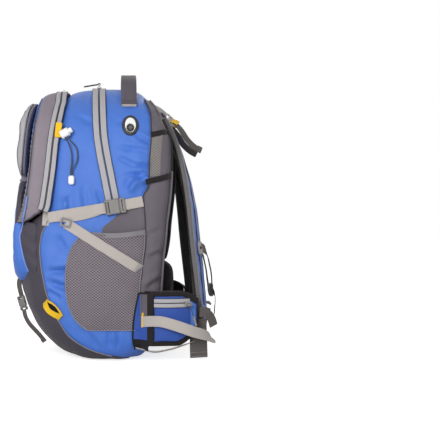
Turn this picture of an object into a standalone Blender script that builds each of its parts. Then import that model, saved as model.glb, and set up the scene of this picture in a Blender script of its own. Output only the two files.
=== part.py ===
"""Daypack of about 45 litres, built as a sewn pack comes apart: fabric shells, webbing, buckles, pads and frame.

Metres, +Z up. +Y points from the pack to its wearer, so the wearer's right side is +X. The origin lies on the
floor under the middle of the pack's box.
"""

import math

import bmesh
import bpy
from mathutils import Matrix, Vector

# ---------------------------------------------------------------- sizes that drive the pack
PACK_SHIFT_Y = -0.0060       # puts the origin under the middle of the whole pack
GAP = 0.0004                 # running gap between pieces that touch
SKIN_LIFT = 0.0006           # how far a sewn-on panel floats over the shell
FABRIC = 0.0040              # wall of the main shell: fabric with its padding and lining
PANEL = 0.0012               # a sewn-on fabric panel
RING_POINTS = 32             # points round one level of a bag, the same for all bags
MIRROR = {"r": 1, "l": -1}   # the wearer's right is +X

WEB_WIDTH = 0.020            # compression and shoulder webbing
WEB_THICK = 0.0016
HIP_WEB_WIDTH = 0.038
MAT_WEB_WIDTH = 0.015
TAPE_WIDTH = 0.026           # both tapes of the main zipper
ORGANIZER_TAPE = 0.020
CORD = 0.0024                # elastic cord of the tool keeper
PAD = 0.012                  # foam of the shoulder straps
SLOT = 0.006                 # opening in the shell under the main zipper

# Main bag: height, back, front, half width, front corner exponent.
MAIN = [
    (0.000, 0.046, -0.066, 0.100, 2.6),
    (0.005, 0.056, -0.086, 0.122, 2.6),
    (0.014, 0.064, -0.107, 0.138, 2.6),
    (0.030, 0.071, -0.128, 0.148, 2.7),
    (0.050, 0.077, -0.146, 0.154, 2.8),
    (0.080, 0.084, -0.163, 0.157, 3.0),
    (0.115, 0.088, -0.178, 0.159, 3.0),
    (0.150, 0.090, -0.187, 0.160, 3.0),
    (0.190, 0.093, -0.190, 0.160, 3.0),
    (0.235, 0.098, -0.188, 0.160, 3.2),
    (0.262, 0.100, -0.172, 0.159, 4.0),
    (0.288, 0.103, -0.134, 0.158, 7.0),
    (0.325, 0.107, -0.127, 0.156, 9.0),
    (0.371, 0.109, -0.121, 0.153, 9.0),
    (0.411, 0.108, -0.117, 0.150, 9.0),
    (0.440, 0.100, -0.113, 0.144, 8.0),
    (0.465, 0.089, -0.109, 0.132, 7.0),
    (0.488, 0.076, -0.105, 0.114, 6.0),
    (0.503, 0.068, -0.100, 0.097, 5.0),
    (0.514, 0.060, -0.093, 0.080, 4.0),
    (0.522, 0.049, -0.083, 0.063, 3.2),
    (0.528, 0.034, -0.066, 0.043, 2.6),
    (0.5315, 0.012, -0.040, 0.022, 2.2),
]
MAIN_BACK_CORNER = 8.0

# Organizer bag in front of it: height, front, how much narrower than the main bag.
ORGANIZER = [
    (0.264, -0.1885, 0.030),
    (0.275, -0.1880, 0.014),
    (0.288, -0.1852, 0.004),
    (0.325, -0.1770, 0.003),
    (0.371, -0.1710, 0.003),
    (0.411, -0.1675, 0.003),
    (0.440, -0.1645, 0.003),
    (0.465, -0.1610, 0.003),
    (0.488, -0.1560, 0.003),
    (0.503, -0.1500, 0.003),
    (0.514, -0.1410, 0.003),
    (0.5185, -0.1320, 0.006),
]
# Front pocket: height, front, half width.
POCKET = [
    (0.352, -0.1840, 0.076),
    (0.362, -0.1870, 0.092),
    (0.380, -0.1895, 0.103),
    (0.411, -0.1890, 0.107),
    (0.440, -0.1865, 0.104),
    (0.465, -0.1825, 0.096),
    (0.488, -0.1745, 0.076),
    (0.498, -0.1670, 0.056),
]
# Lower front pocket: height, front, half width.
LOWER = [
    (0.148, -0.1930, 0.078),
    (0.156, -0.1975, 0.096),
    (0.172, -0.2005, 0.110),
    (0.200, -0.2015, 0.119),
    (0.240, -0.2010, 0.123),
    (0.282, -0.1975, 0.118),
    (0.312, -0.1940, 0.108),
    (0.330, -0.1900, 0.092),
    (0.343, -0.1840, 0.070),
]
LOWER_BACK = [(0.148, -0.1880), (0.190, -0.1912), (0.264, -0.1912), (0.290, -0.1865), (0.325, -0.1785),
              (0.343, -0.1760)]
# Seam between the blue side and the grey back gusset, as (height, y).
SEAM = [(0.030, 0.037), (0.065, 0.046), (0.138, 0.047), (0.178, 0.051), (0.235, 0.057), (0.284, 0.055),
        (0.312, 0.053), (0.330, 0.062), (0.387, 0.065), (0.430, 0.068), (0.465, 0.068), (0.503, 0.058)]
# Line of the main zipper on the side, as (height, y).
ZIP_LINE = [(0.300, -0.004), (0.356, -0.015), (0.392, -0.022), (0.430, -0.0275), (0.473, -0.030),
            (0.540, -0.032)]

COLOURS = {
    "blue_nylon": ((0.05, 0.13, 0.55), 0.45, 0.0),
    "grey_nylon": ((0.16, 0.14, 0.16), 0.55, 0.0),
    "grey_mesh": ((0.15, 0.13, 0.15), 0.8, 0.0),
    "black_foam": ((0.01, 0.01, 0.012), 0.9, 0.0),
    "grey_webbing": ((0.40, 0.37, 0.33), 0.8, 0.0),
    "dark_webbing": ((0.10, 0.09, 0.085), 0.8, 0.0),
    "grey_plastic": ((0.14, 0.13, 0.13), 0.4, 0.0),
    "zipper_tape": ((0.33, 0.35, 0.36), 0.7, 0.0),
    "metal": ((0.45, 0.45, 0.46), 0.3, 1.0),
    "yellow_webbing": ((0.85, 0.50, 0.03), 0.7, 0.0),
    "white_plastic": ((0.85, 0.85, 0.85), 0.35, 0.0),
    "cord": ((0.06, 0.07, 0.06), 0.7, 0.0),
    "frame_plastic": ((0.03, 0.03, 0.03), 0.5, 0.0),
}


# ---------------------------------------------------------------- scene, materials and mesh helpers
def clear_scene():
    for obj in list(bpy.data.objects):
        bpy.data.objects.remove(obj)


def collection(name):
    made = bpy.data.collections.new(name)
    bpy.context.scene.collection.children.link(made)
    return made


clear_scene()
PARTS = collection("daypack")
CUTTERS = collection("cutters")


def material(name):
    found = bpy.data.materials.get(name)
    if found:
        return found
    colour, roughness, metallic = COLOURS[name]
    made = bpy.data.materials.new(name)
    made.use_nodes = True
    shader = made.node_tree.nodes["Principled BSDF"]
    shader.inputs["Base Color"].default_value = (*colour, 1.0)
    shader.inputs["Roughness"].default_value = roughness
    shader.inputs["Metallic"].default_value = metallic
    made.diffuse_color = (*colour, 1.0)
    return made


def shifted(point):
    """A design point, moved to the frame whose origin is under the middle of the pack."""
    return Vector(point) + Vector((0, PACK_SHIFT_Y, 0))


def place(obj, name, finish, smooth=True):
    obj.name = name
    obj.data.name = name
    obj.data.materials.clear()
    obj.data.materials.append(material(finish))
    for holder in list(obj.users_collection):
        holder.objects.unlink(obj)
    PARTS.objects.link(obj)
    if smooth and obj.type == "MESH":
        obj.data.shade_smooth()
        obj.data.set_sharp_from_angle(angle=math.radians(40))
    return obj


def mesh_object(name, points, faces, finish, origin=(0, 0, 0)):
    """A mesh piece from design points; its own origin sits at the design point given."""
    origin = shifted(origin)
    mesh = bpy.data.meshes.new(name)
    mesh.from_pydata([shifted(p) - origin for p in points], [], faces)
    tidy = bmesh.new()
    tidy.from_mesh(mesh)
    bmesh.ops.recalc_face_normals(tidy, faces=tidy.faces)
    tidy.to_mesh(mesh)
    tidy.free()
    obj = bpy.data.objects.new(name, mesh)
    bpy.context.scene.collection.objects.link(obj)
    obj.location = origin
    return place(obj, name, finish)


def loft(name, rings, finish, origin=(0, 0, 0), closed=True):
    """Skin over rings that all have the same number of points, capped at both ends."""
    count = len(rings[0])
    points = [p for ring in rings for p in ring]
    faces = []
    for level in range(len(rings) - 1):
        a, b = level * count, (level + 1) * count
        for i in range(count):
            j = (i + 1) % count
            faces.append((a + i, a + j, b + j, b + i))
    if closed:
        faces.append(tuple(range(count - 1, -1, -1)))
        last = (len(rings) - 1) * count
        faces.append(tuple(range(last, last + count)))
    return mesh_object(name, points, faces, finish, origin)


def thicken(obj, thickness, outward=True):
    """A shell from an open surface."""
    shell = obj.modifiers.new("fabric", "SOLIDIFY")
    shell.thickness = thickness
    shell.offset = 1.0 if outward else -1.0
    shell.use_even_offset = True
    return obj


def as_cutter(obj):
    """Takes a helper out of the pack: it only cuts."""
    for holder in list(obj.users_collection):
        holder.objects.unlink(obj)
    CUTTERS.objects.link(obj)
    obj.hide_render = True
    obj.display_type = "WIRE"
    return obj


def combine(obj, other, operation):
    """Cuts or joins with a Boolean; the other piece becomes a helper."""
    step = obj.modifiers.new(operation.lower(), "BOOLEAN")
    step.operation = operation
    step.object = as_cutter(other)
    return obj


def block(name, size, finish, bevel=0.0, at=(0, 0, 0), segments=2):
    """A box with rounded edges, in its own frame, centred at the point given."""
    bpy.ops.mesh.primitive_cube_add(size=1)
    obj = bpy.context.object
    obj.data.transform(Matrix.Diagonal((*size, 1.0)))
    obj.data.transform(Matrix.Translation(at))
    if bevel:
        edge = obj.modifiers.new("rounding", "BEVEL")
        edge.width = bevel
        edge.segments = segments
        edge.limit_method = "ANGLE"
    return place(obj, name, finish)


def cylinder(name, radius, depth, finish, sides=16, at=(0, 0, 0), tilt=None, bevel=0.0):
    bpy.ops.mesh.primitive_cylinder_add(vertices=sides, radius=radius, depth=depth)
    obj = bpy.context.object
    if tilt:
        obj.data.transform(tilt)
    obj.data.transform(Matrix.Translation(at))
    if bevel:
        edge = obj.modifiers.new("rounding", "BEVEL")
        edge.width = bevel
        edge.segments = 2
        edge.limit_method = "ANGLE"
    return place(obj, name, finish)


def plate(name, outlines, thickness, finish):
    """A flat outline with its holes, extruded both ways: local X-Y is the outline's plane.

    It is drawn a hundred times as large and scaled down, because filling a curve merges close points.
    """
    large = 100.0
    curve = bpy.data.curves.new(name, "CURVE")
    curve.dimensions = "2D"
    curve.fill_mode = "BOTH"
    curve.extrude = large * thickness / 2
    for outline in outlines:
        spline = curve.splines.new("POLY")
        spline.points.add(len(outline) - 1)
        for point, (x, y) in zip(spline.points, outline):
            point.co = (large * x, large * y, 0, 1)
        spline.use_cyclic_u = True
    drawn = bpy.data.objects.new(name, curve)
    bpy.context.scene.collection.objects.link(drawn)
    bpy.context.view_layer.update()
    solid = drawn.evaluated_get(bpy.context.evaluated_depsgraph_get())
    mesh = bpy.data.meshes.new_from_object(solid)
    weld = bmesh.new()
    weld.from_mesh(mesh)
    bmesh.ops.remove_doubles(weld, verts=weld.verts, dist=1e-4)
    bmesh.ops.scale(weld, verts=weld.verts, vec=(1 / large, 1 / large, 1 / large))
    bmesh.ops.recalc_face_normals(weld, faces=weld.faces)
    weld.to_mesh(mesh)
    weld.free()
    bpy.data.objects.remove(drawn)
    obj = bpy.data.objects.new(name, mesh)
    bpy.context.scene.collection.objects.link(obj)
    return place(obj, name, finish)


def seat(obj, point, along, up):
    """Stands a piece at a design point: its local X runs along the first direction, local Z up the second."""
    x_axis = Vector(along).normalized()
    z_axis = Vector(up)
    z_axis = (z_axis - x_axis * z_axis.dot(x_axis)).normalized()
    turn = Matrix((x_axis, z_axis.cross(x_axis), z_axis)).transposed().to_4x4()
    obj.matrix_world = Matrix.Translation(shifted(point)) @ turn
    for step in obj.modifiers:
        if step.type == "BOOLEAN":
            step.object.matrix_world = obj.matrix_world @ step.object.matrix_world
    return obj


def rounded(width, height, radius, corner=3):
    """Outline of a rectangle with round corners, centred."""
    points = []
    for turn, (sx, sy) in enumerate(((1, 1), (-1, 1), (-1, -1), (1, -1))):
        centre = (sx * (width / 2 - radius), sy * (height / 2 - radius))
        for step in range(corner + 1):
            angle = math.pi / 2 * (turn + step / corner)
            points.append((centre[0] + radius * math.cos(angle), centre[1] + radius * math.sin(angle)))
    return points


def moved(outline, dx=0.0, dy=0.0):
    return [(x + dx, y + dy) for x, y in outline]


# ---------------------------------------------------------------- the forms of the bags
def between(table, z, column=1):
    """Straight-line reading of a table by height."""
    if z <= table[0][0]:
        return table[0][column]
    for low, high in zip(table, table[1:]):
        if z <= high[0]:
            share = (z - low[0]) / (high[0] - low[0])
            return low[column] + share * (high[column] - low[column])
    return table[-1][column]


class Bag:
    """A bag's outer form: at each height a rounded rectangle whose corners may differ at back and front."""

    def __init__(self, heights, back, front, half, back_corner, front_corner):
        self.heights = heights
        self.back, self.front, self.half = back, front, half
        self.back_corner, self.front_corner = back_corner, front_corner

    def middle(self, z):
        return (self.back(z) + self.front(z)) / 2

    def corner(self, y, z):
        return self.back_corner(z) if y > self.middle(z) else self.front_corner(z)

    def inside(self, x, y, z):
        if not self.heights[0] <= z <= self.heights[-1]:
            return False
        depth = (self.back(z) - self.front(z)) / 2
        power = self.corner(y, z)
        return abs(x / self.half(z)) ** power + abs((y - self.middle(z)) / depth) ** power <= 1

    def ring_point(self, z, angle, lift=0.0):
        depth = (self.back(z) - self.front(z)) / 2 + lift
        c, s = math.cos(angle), math.sin(angle)
        power = self.back_corner(z) if s > 0 else self.front_corner(z)
        x = (self.half(z) + lift) * math.copysign(abs(c) ** (2 / power), c)
        y = self.middle(z) + depth * math.copysign(abs(s) ** (2 / power), s)
        return (x, y, z)

    def ring(self, z, lift=0.0, count=RING_POINTS):
        return [self.ring_point(z, 2 * math.pi * i / count, lift) for i in range(count)]

    def side(self, y, z):
        """How far out the side lies at this depth and height."""
        depth = (self.back(z) - self.front(z)) / 2
        share = min(1.0, abs((y - self.middle(z)) / depth))
        power = self.corner(y, z)
        return self.half(z) * (1 - share ** power) ** (1 / power)

    def back_at(self, x, z):
        """Where the back face lies at this width and height."""
        power = self.back_corner(z)
        depth = (self.back(z) - self.front(z)) / 2
        return self.middle(z) + depth * (1 - min(1.0, abs(x / self.half(z))) ** power) ** (1 / power)

    def front_at(self, x, z):
        power = self.front_corner(z)
        depth = (self.back(z) - self.front(z)) / 2
        return self.middle(z) - depth * (1 - min(1.0, abs(x / self.half(z))) ** power) ** (1 / power)

    def reach(self, line, centre, angle):
        """Distance from (0, centre height) to the surface along an angle from +X, in the sheet y = line(z)."""
        near, far = 0.0, 0.4
        for _ in range(40):
            middle = (near + far) / 2
            x, z = middle * math.cos(angle), centre + middle * math.sin(angle)
            if self.inside(x, line(z), z):
                near = middle
            else:
                far = middle
        return near


main_bag = Bag(
    [row[0] for row in MAIN],
    lambda z: between(MAIN, z, 1),
    lambda z: between(MAIN, z, 2),
    lambda z: between(MAIN, z, 3),
    lambda z: MAIN_BACK_CORNER if 0.03 < z < 0.5 else 4.0,
    lambda z: between(MAIN, z, 4),
)
organizer_bag = Bag(
    [row[0] for row in ORGANIZER],
    lambda z: main_bag.front(z) - GAP,
    lambda z: between(ORGANIZER, z, 1),
    lambda z: main_bag.half(z) - between(ORGANIZER, z, 2),
    lambda z: 9.0,
    lambda z: 3.0,
)
pocket_bag = Bag(
    [row[0] for row in POCKET],
    lambda z: organizer_bag.front(z) - GAP,
    lambda z: between(POCKET, z, 1),
    lambda z: between(POCKET, z, 2),
    lambda z: 7.0,
    lambda z: 3.6,
)
lower_bag = Bag(
    [row[0] for row in LOWER],
    lambda z: between(LOWER_BACK, z) - GAP,
    lambda z: between(LOWER, z, 1),
    lambda z: between(LOWER, z, 2),
    lambda z: 7.0,
    lambda z: 3.6,
)


def zip_line(z):
    return between(ZIP_LINE, z)


def seam(z):
    return between(SEAM, z)


def surface(side, y, z, lift=0.0):
    """A point on the main bag's side, lifted off it."""
    return Vector((side * (main_bag.side(y, z) + lift), y, z))


def side_normal(side, y, z, reach=0.008):
    """The way out of the main bag's side, over a stretch of it."""
    slope_y = (main_bag.side(y + reach, z) - main_bag.side(y - reach, z)) / (2 * reach)
    slope_z = (main_bag.side(y, z + reach) - main_bag.side(y, z - reach)) / (2 * reach)
    return Vector((side, -slope_y, -slope_z)).normalized()


# ---------------------------------------------------------------- bands: webbing and tapes laid along a line
def frames(points, normals):
    """At each point of a line: (point, unit direction across the band, unit normal)."""
    made = []
    for i, point in enumerate(points):
        before, after = points[max(0, i - 1)], points[min(len(points) - 1, i + 1)]
        run = (after - before).normalized()
        normal = normals[i] if isinstance(normals, list) else normals
        normal = (Vector(normal) - run * Vector(normal).dot(run)).normalized()
        made.append((point, run.cross(normal), normal))
    return made


def band(name, points, normals, section, finish, origin=(0, 0, 0)):
    """A band with one cross-section, given as (across, up) pairs, along a line of points."""
    points = [Vector(p) for p in points]
    rings = [[p + across * a + up * b for a, b in section] for p, across, up in frames(points, normals)]
    return loft(name, rings, finish, origin)


def flat_section(width, thickness):
    return [(-width / 2, 0), (width / 2, 0), (width / 2, thickness), (-width / 2, thickness)]


def smooth_line(knots, steps):
    """Points on one smooth curve through the knots, however unevenly they are spaced."""
    knots = [Vector(k) for k in knots]
    slopes = [(b - a) / (b - a).length for a, b in zip(knots, knots[1:])]
    spans = [(b - a).length for a, b in zip(knots, knots[1:])]
    bends = [slopes[0]]
    for i in range(1, len(slopes)):
        bends.append((slopes[i] * spans[i - 1] + slopes[i - 1] * spans[i]) / (spans[i - 1] + spans[i]))
    bends.append(slopes[-1])
    points = []
    for i, span in enumerate(spans):
        for step in range(steps):
            t = step / steps
            points.append((2 * t ** 3 - 3 * t ** 2 + 1) * knots[i] + (t ** 3 - 2 * t ** 2 + t) * span * bends[i]
                          + (3 * t ** 2 - 2 * t ** 3) * knots[i + 1] + (t ** 3 - t ** 2) * span * bends[i + 1])
    points.append(knots[-1])
    return points


# ---------------------------------------------------------------- bags
TEETH = 0.0024               # height of a zipper's coil over its tapes' back


def zip_section(width):
    """Two tapes with the coil standing up between them."""
    coil, tape = 0.0022, 0.0010
    rise = TEETH - tape
    half = width / 2
    return [(-half, 0), (half, 0), (half, tape), (coil, tape), (coil * 0.7, tape + rise),
            (-coil * 0.7, tape + rise), (-coil, tape), (-half, tape)]


def arch_line(bag, line, foot, lift, steps, centre=0.40):
    """Points and normals of a line that climbs one side, crosses the crown and comes down the other."""
    start = math.atan2(foot - centre, bag.side(line(foot), foot))
    points, normals = [], []
    for i in range(steps + 1):
        angle = start + (math.pi - 2 * start) * i / steps
        radius = bag.reach(line, centre, angle)
        points.append(Vector((radius * math.cos(angle), 0, centre + radius * math.sin(angle))))
    for i, point in enumerate(points):
        run = points[min(steps, i + 1)] - points[max(0, i - 1)]
        normals.append(Vector((run.z, 0, -run.x)).normalized())
    lifted = [p + n * lift for p, n in zip(points, normals)]
    for point in lifted:
        point.y = line(point.z)
    return lifted, normals


MAIN_ZIP_FOOT = 0.306
MAIN_ZIP_STEPS = 30


ROOM_LEVELS = (0.006, 0.030, 0.050, 0.080, 0.150, 0.235, 0.262, 0.288, 0.371, 0.411, 0.440, 0.488, 0.514,
               0.525)


def make_main_bag():
    shell = loft("main_compartment", [main_bag.ring(z) for z in main_bag.heights], "blue_nylon")
    room = loft("main_room", [main_bag.ring(z, -FABRIC, RING_POINTS // 2) for z in ROOM_LEVELS], "blue_nylon")
    combine(shell, room, "DIFFERENCE")
    line, normals = arch_line(main_bag, zip_line, MAIN_ZIP_FOOT + 0.006, -0.012, MAIN_ZIP_STEPS)
    slot = band("zip_slot", line, normals, flat_section(SLOT, 0.020), "blue_nylon")
    return combine(shell, slot, "DIFFERENCE")


def make_main_zipper():
    line, normals = arch_line(main_bag, zip_line, MAIN_ZIP_FOOT, SKIN_LIFT + 0.0012, MAIN_ZIP_STEPS)
    return band("zipper_main", line, normals, zip_section(TAPE_WIDTH), "zipper_tape")


def make_organizer():
    return loft("organizer_compartment", [organizer_bag.ring(z) for z in organizer_bag.heights], "grey_nylon")


ORGANIZER_ZIP_FOOT = 0.292
ORGANIZER_ZIP_Y = -0.104     # on the crown, where the tape bridges the notch between the two bags


def organizer_line():
    """The organizer's zipper follows the joint between the two bags and rests on both."""
    steps, centre, lift = 28, 0.40, 0.0022
    start = math.atan2(ORGANIZER_ZIP_FOOT - centre, main_bag.half(ORGANIZER_ZIP_FOOT))
    points = []
    for i in range(steps + 1):
        angle = start + (math.pi - 2 * start) * i / steps
        on_main = main_bag.reach(lambda z: max(main_bag.front(min(z, 0.488)), -0.120) + 0.014, centre, angle)
        on_organizer = organizer_bag.reach(lambda z: main_bag.front(min(z, 0.488)) - 0.014, centre, angle)
        radius = max(on_main, on_organizer)
        z = centre + radius * math.sin(angle)
        points.append(Vector((radius * math.cos(angle), max(main_bag.front(z), -0.2), z)))
    for point in points:
        point.y = min(main_bag.front(point.z), ORGANIZER_ZIP_Y)
    normals = []
    for i in range(len(points)):
        run = points[min(steps, i + 1)] - points[max(0, i - 1)]
        normals.append(Vector((run.z, 0, -run.x)).normalized())
    return [p + n * lift for p, n in zip(points, normals)], normals


def make_organizer_zipper():
    line, normals = organizer_line()
    return band("zipper_organizer", line, normals, zip_section(ORGANIZER_TAPE), "zipper_tape")


POCKET_RIM = 0.007           # depth of the front pocket's fixed wall
FLAP_GAP = 0.0005


def pocket_rim(z):
    """The plane where the flap's edge meets the fixed wall."""
    return pocket_bag.back(z) - POCKET_RIM


def make_front_pocket():
    """A shallow tray: the front of the pack with a wall standing round the pocket."""
    tray = loft("front_pocket", [pocket_bag.ring(z) for z in pocket_bag.heights], "grey_nylon")
    front = pocket_block("tray_front", -0.05, FLAP_GAP)
    combine(tray, front, "DIFFERENCE")
    hollow = pocket_core("tray_hollow", -0.0022)
    return combine(tray, hollow, "DIFFERENCE")


def pocket_block(name, depth, gap):
    """A slab that starts beside the rim plane, wider and taller than the pocket, to cut with."""
    spare, half = 0.01, 0.15
    rings = []
    for z in [POCKET[0][0] - spare] + [row[0] for row in POCKET] + [POCKET[-1][0] + spare]:
        edge = pocket_rim(z) + gap
        rings.append([(-half, edge + depth, z), (half, edge + depth, z), (half, edge, z), (-half, edge, z)])
    return loft(name, rings, "grey_nylon")


def pocket_core(name, inset):
    """The room inside the pocket: its form drawn in by the wall."""
    return loft(name, [pocket_bag.ring(z, inset) for z in pocket_bag.heights[1:-1]], "grey_nylon")


def make_flap():
    """The zipped front of the pocket, hinged along its lower edge."""
    hinge = (0, pocket_bag.front(POCKET[0][0]) - 0.001, POCKET[0][0] - 0.001)
    flap = loft("front_pocket_flap", [pocket_bag.ring(z) for z in pocket_bag.heights], "blue_nylon", hinge)
    back = pocket_block("flap_back", 0.05, -FLAP_GAP)
    combine(flap, back, "DIFFERENCE")
    return combine(flap, pocket_core("flap_hollow", -0.0022), "DIFFERENCE")


def make_lower_pocket():
    return loft("lower_front_pocket", [lower_bag.ring(z) for z in lower_bag.heights], "blue_nylon")


def make_back_panel():
    """Grey gusset and back face: one panel from seam to seam round the back."""
    levels = [z for z in main_bag.heights if PANEL_LOW <= z <= PANEL_HIGH]
    panel = thicken(loft("back_panel", [main_bag.ring(z, SKIN_LIFT) for z in levels], "grey_nylon", closed=False),
                    PANEL)
    half = 0.2
    keep = [[(-half, seam(z), z), (half, seam(z), z), (half, half, z), (-half, half, z)]
            for z in [PANEL_LOW + 0.0005] + [row[0] for row in SEAM[1:-1]] + [PANEL_HIGH - 0.0005]]
    return combine(panel, loft("panel_reach", keep, "grey_nylon"), "INTERSECT")


PANEL_LOW, PANEL_HIGH = 0.030, 0.503
PAD_LOW, PAD_HIGH = 0.195, 0.395
LUMBAR_LOW, LUMBAR_HIGH = 0.035, 0.180
BACK_COVER = SKIN_LIFT + PANEL


def pad_rings(heights, half, thickness):
    """Rings of a pad that follows the back face: four corners of each level are rounded by the taper."""
    rings = []
    for i, z in enumerate(heights):
        end = i in (0, len(heights) - 1)
        width = half(z) - (0.006 if end else 0)
        deep = thickness(z) * (0.45 if end else 1.0)
        ring = []
        for x in (-width, -width * 0.5, 0, width * 0.5, width):
            ring.append((x, main_bag.back_at(x, z) + BACK_COVER + GAP + 0.0002, z))
        for x, share in ((width, 0.55), (width * 0.9, 0.95), (0, 0.9), (-width * 0.9, 0.95), (-width, 0.55)):
            ring.append((x, main_bag.back_at(x, z) + BACK_COVER + GAP + deep * share, z))
        rings.append(ring)
    return rings


def make_back_pad():
    """Foam on the back: a tall pad above and a thick lumbar pad below, one moulding."""
    heights = [LUMBAR_LOW, 0.050, 0.080, 0.115, 0.150, LUMBAR_HIGH, PAD_LOW, 0.235, 0.262, 0.288, 0.325, 0.371,
               PAD_HIGH]

    def half(z):
        return 0.104 if z <= LUMBAR_HIGH else 0.088

    def thickness(z):
        return 0.024 if z < LUMBAR_HIGH else 0.008

    return loft("back_pad", pad_rings(heights, half, thickness), "black_foam")


def make_frame_sheet():
    """Plastic sheet inside the back with two stay channels pressed in it."""
    inset = FABRIC + 0.0030
    sheet, channel = 0.0018, 0.005
    rings = []
    for z in (0.055, 0.080, 0.150, 0.235, 0.288, 0.371, 0.411, 0.440):
        half = 0.115 if z < 0.4 else 0.095
        stops = [-half, -0.075, -0.070, -0.055, -0.050, 0.050, 0.055, 0.070, 0.075, half]
        heights = [0, 0, channel, channel, 0, 0, channel, channel, 0, 0]
        outer = [(x, main_bag.back_at(x, z) - inset, z) for x in stops]
        inner = [(x, main_bag.back_at(x, z) - inset - sheet - rise, z) for x, rise in zip(stops, heights)]
        rings.append(outer + inner[::-1])
    return loft("frame_sheet", rings, "frame_plastic")


# ---------------------------------------------------------------- side pockets
MESH_LOW, MESH_HIGH = 0.062, 0.250
MESH_MID, MESH_HALF_HEIGHT = 0.156, 0.099
MESH_BULGE = 0.015           # room between the mesh and the side
MESH_FABRIC = 0.0014
MESH_REAR_GAP = 0.0015


def mesh_front_edge(z):
    """The curved front seam of the side pocket."""
    share = min(1.0, abs((z - MESH_MID) / MESH_HALF_HEIGHT))
    return -0.020 - 0.072 * (1 - share ** 2.4) ** (1 / 2.4)


def mesh_lift(y, z):
    """How far the mesh stands off the side: sewn down at its edges, open at its mouth."""
    front, rear = mesh_front_edge(z), seam(z) - MESH_REAR_GAP
    across = min(1.0, max(0.0, (y - front) / (rear - front)))
    up = min(1.0, (z - MESH_LOW) / 0.09)
    return SKIN_LIFT + MESH_BULGE * math.sin(math.pi * across) ** 0.6 * math.sin(math.pi / 2 * up) ** 0.8


def make_mesh_pocket(tag):
    side = MIRROR[tag]
    across, levels = 10, 8
    outer, inner = [], []
    for j in range(levels + 1):
        z = MESH_LOW + (MESH_HIGH - MESH_LOW) * j / levels
        front, rear = mesh_front_edge(z), seam(z) - MESH_REAR_GAP
        for i in range(across + 1):
            y = front + (rear - front) * i / across
            lift = mesh_lift(y, z)
            inner.append(surface(side, y, z, lift))
            outer.append(surface(side, y, z, lift + MESH_FABRIC))
    row = across + 1
    count = row * (levels + 1)
    faces = []
    for j in range(levels):
        for i in range(across):
            a = j * row + i
            faces.append((a, a + 1, a + 1 + row, a + row))
            faces.append((count + a + row, count + a + 1 + row, count + a + 1, count + a))
    border = ([i for i in range(row)] + [j * row + across for j in range(1, levels + 1)]
              + [levels * row + i for i in range(across - 1, -1, -1)]
              + [j * row for j in range(levels - 1, 0, -1)])
    for a, b in zip(border, border[1:] + border[:1]):
        faces.append((b, a, count + a, count + b))
    return mesh_object("mesh_pocket_" + tag, inner + outer, faces, "grey_mesh")


# ---------------------------------------------------------------- buckles
SOCKET_LONG, SOCKET_DEEP = 1.35, 0.42   # of the webbing's width
SOCKET_WALL = 0.0018
CLIP_PLAY = 0.0006           # all round the clip in its socket
RAIL = 0.004                 # beside the webbing on each side
BAR_UNDER = 0.0010           # the webbing's bars lie this far under the buckle's middle


def web_slots(buckle, width, near, far, ends):
    """Cuts the slots for the webbing, and the room below the bars that it passes through."""
    middle = (near + far) / 2
    room = block(buckle.name + "_room", (abs(far - near), width + 0.001, 0.02), "grey_plastic",
                 at=(middle, 0, -0.01 - BAR_UNDER))
    combine(buckle, room, "DIFFERENCE")
    for i, (start, end) in enumerate(ends):
        slot = block(f"{buckle.name}_slot_{i}", (abs(end - start), width + 0.001, 0.03), "grey_plastic",
                     at=((start + end) / 2, 0, 0))
        combine(buckle, slot, "DIFFERENCE")
    return buckle


def female_buckle(name, width):
    """Side-release socket: the mouth is at its origin and looks along +X, the webbing's bars are behind."""
    body, deep, wide = width * SOCKET_LONG, width * SOCKET_DEEP, width + 2 * RAIL
    socket = block(name, (body, wide, deep), "grey_plastic", bevel=0.0014, at=(-body / 2, 0, 0), segments=1)
    inner = deep - 2 * SOCKET_WALL
    mouth = block(name + "_mouth", (body * 0.62, wide - 2 * SOCKET_WALL, inner), "grey_plastic",
                  at=(0.001 - body * 0.31, 0, 0))
    window = block(name + "_window", (body * 0.22, wide * 1.2, inner * 0.999), "grey_plastic",
                   at=(-body * 0.36, 0, 0))
    combine(socket, mouth, "DIFFERENCE")
    combine(socket, window, "DIFFERENCE")
    return web_slots(socket, width, -body * 0.70, -body - 0.002,
                     [(-body * 0.70, -body * 0.77), (-body * 0.86, -body * 0.93)])


def clip_outline(width):
    """Half of the clip from its base along the tongue and one sprung arm, then its mirror image."""
    half = width / 2 + RAIL - SOCKET_WALL - CLIP_PLAY
    reach = width * SOCKET_LONG * 0.56
    arm = width * 0.13
    upper = [(0.002, half), (-reach * 0.35, half - arm * 0.6), (-reach * 0.62, half), (-reach * 0.92, half - arm),
             (-reach * 0.92, half - arm * 2.0), (-reach * 0.35, half - arm * 1.7), (-0.001, half - arm * 1.7),
             (-0.001, arm * 0.6), (-reach, arm * 0.6)]
    return upper + [(x, -y) for x, y in upper[::-1]]


def male_clip(name, width):
    """Side-release clip: its tongue and arms point along -X into the socket, its bar lies past +X."""
    deep = width * SOCKET_DEEP - 2 * SOCKET_WALL - 2 * CLIP_PLAY
    clip = plate(name, [clip_outline(width)], deep, "grey_plastic")
    long = width * 0.5
    base = block(name + "_base", (long, width + 2 * RAIL, width * 0.34), "grey_plastic", bevel=0.001,
                 at=(CLIP_STEP + long / 2, 0, 0), segments=1)
    combine(clip, base, "UNION")
    return web_slots(clip, width, CLIP_STEP + long * 0.4, CLIP_STEP + long + 0.002,
                     [(CLIP_STEP + long * 0.4, CLIP_STEP + long * 0.74)])


CLIP_STEP = 0.0010           # gap between the socket's face and the clip's shoulder


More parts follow.
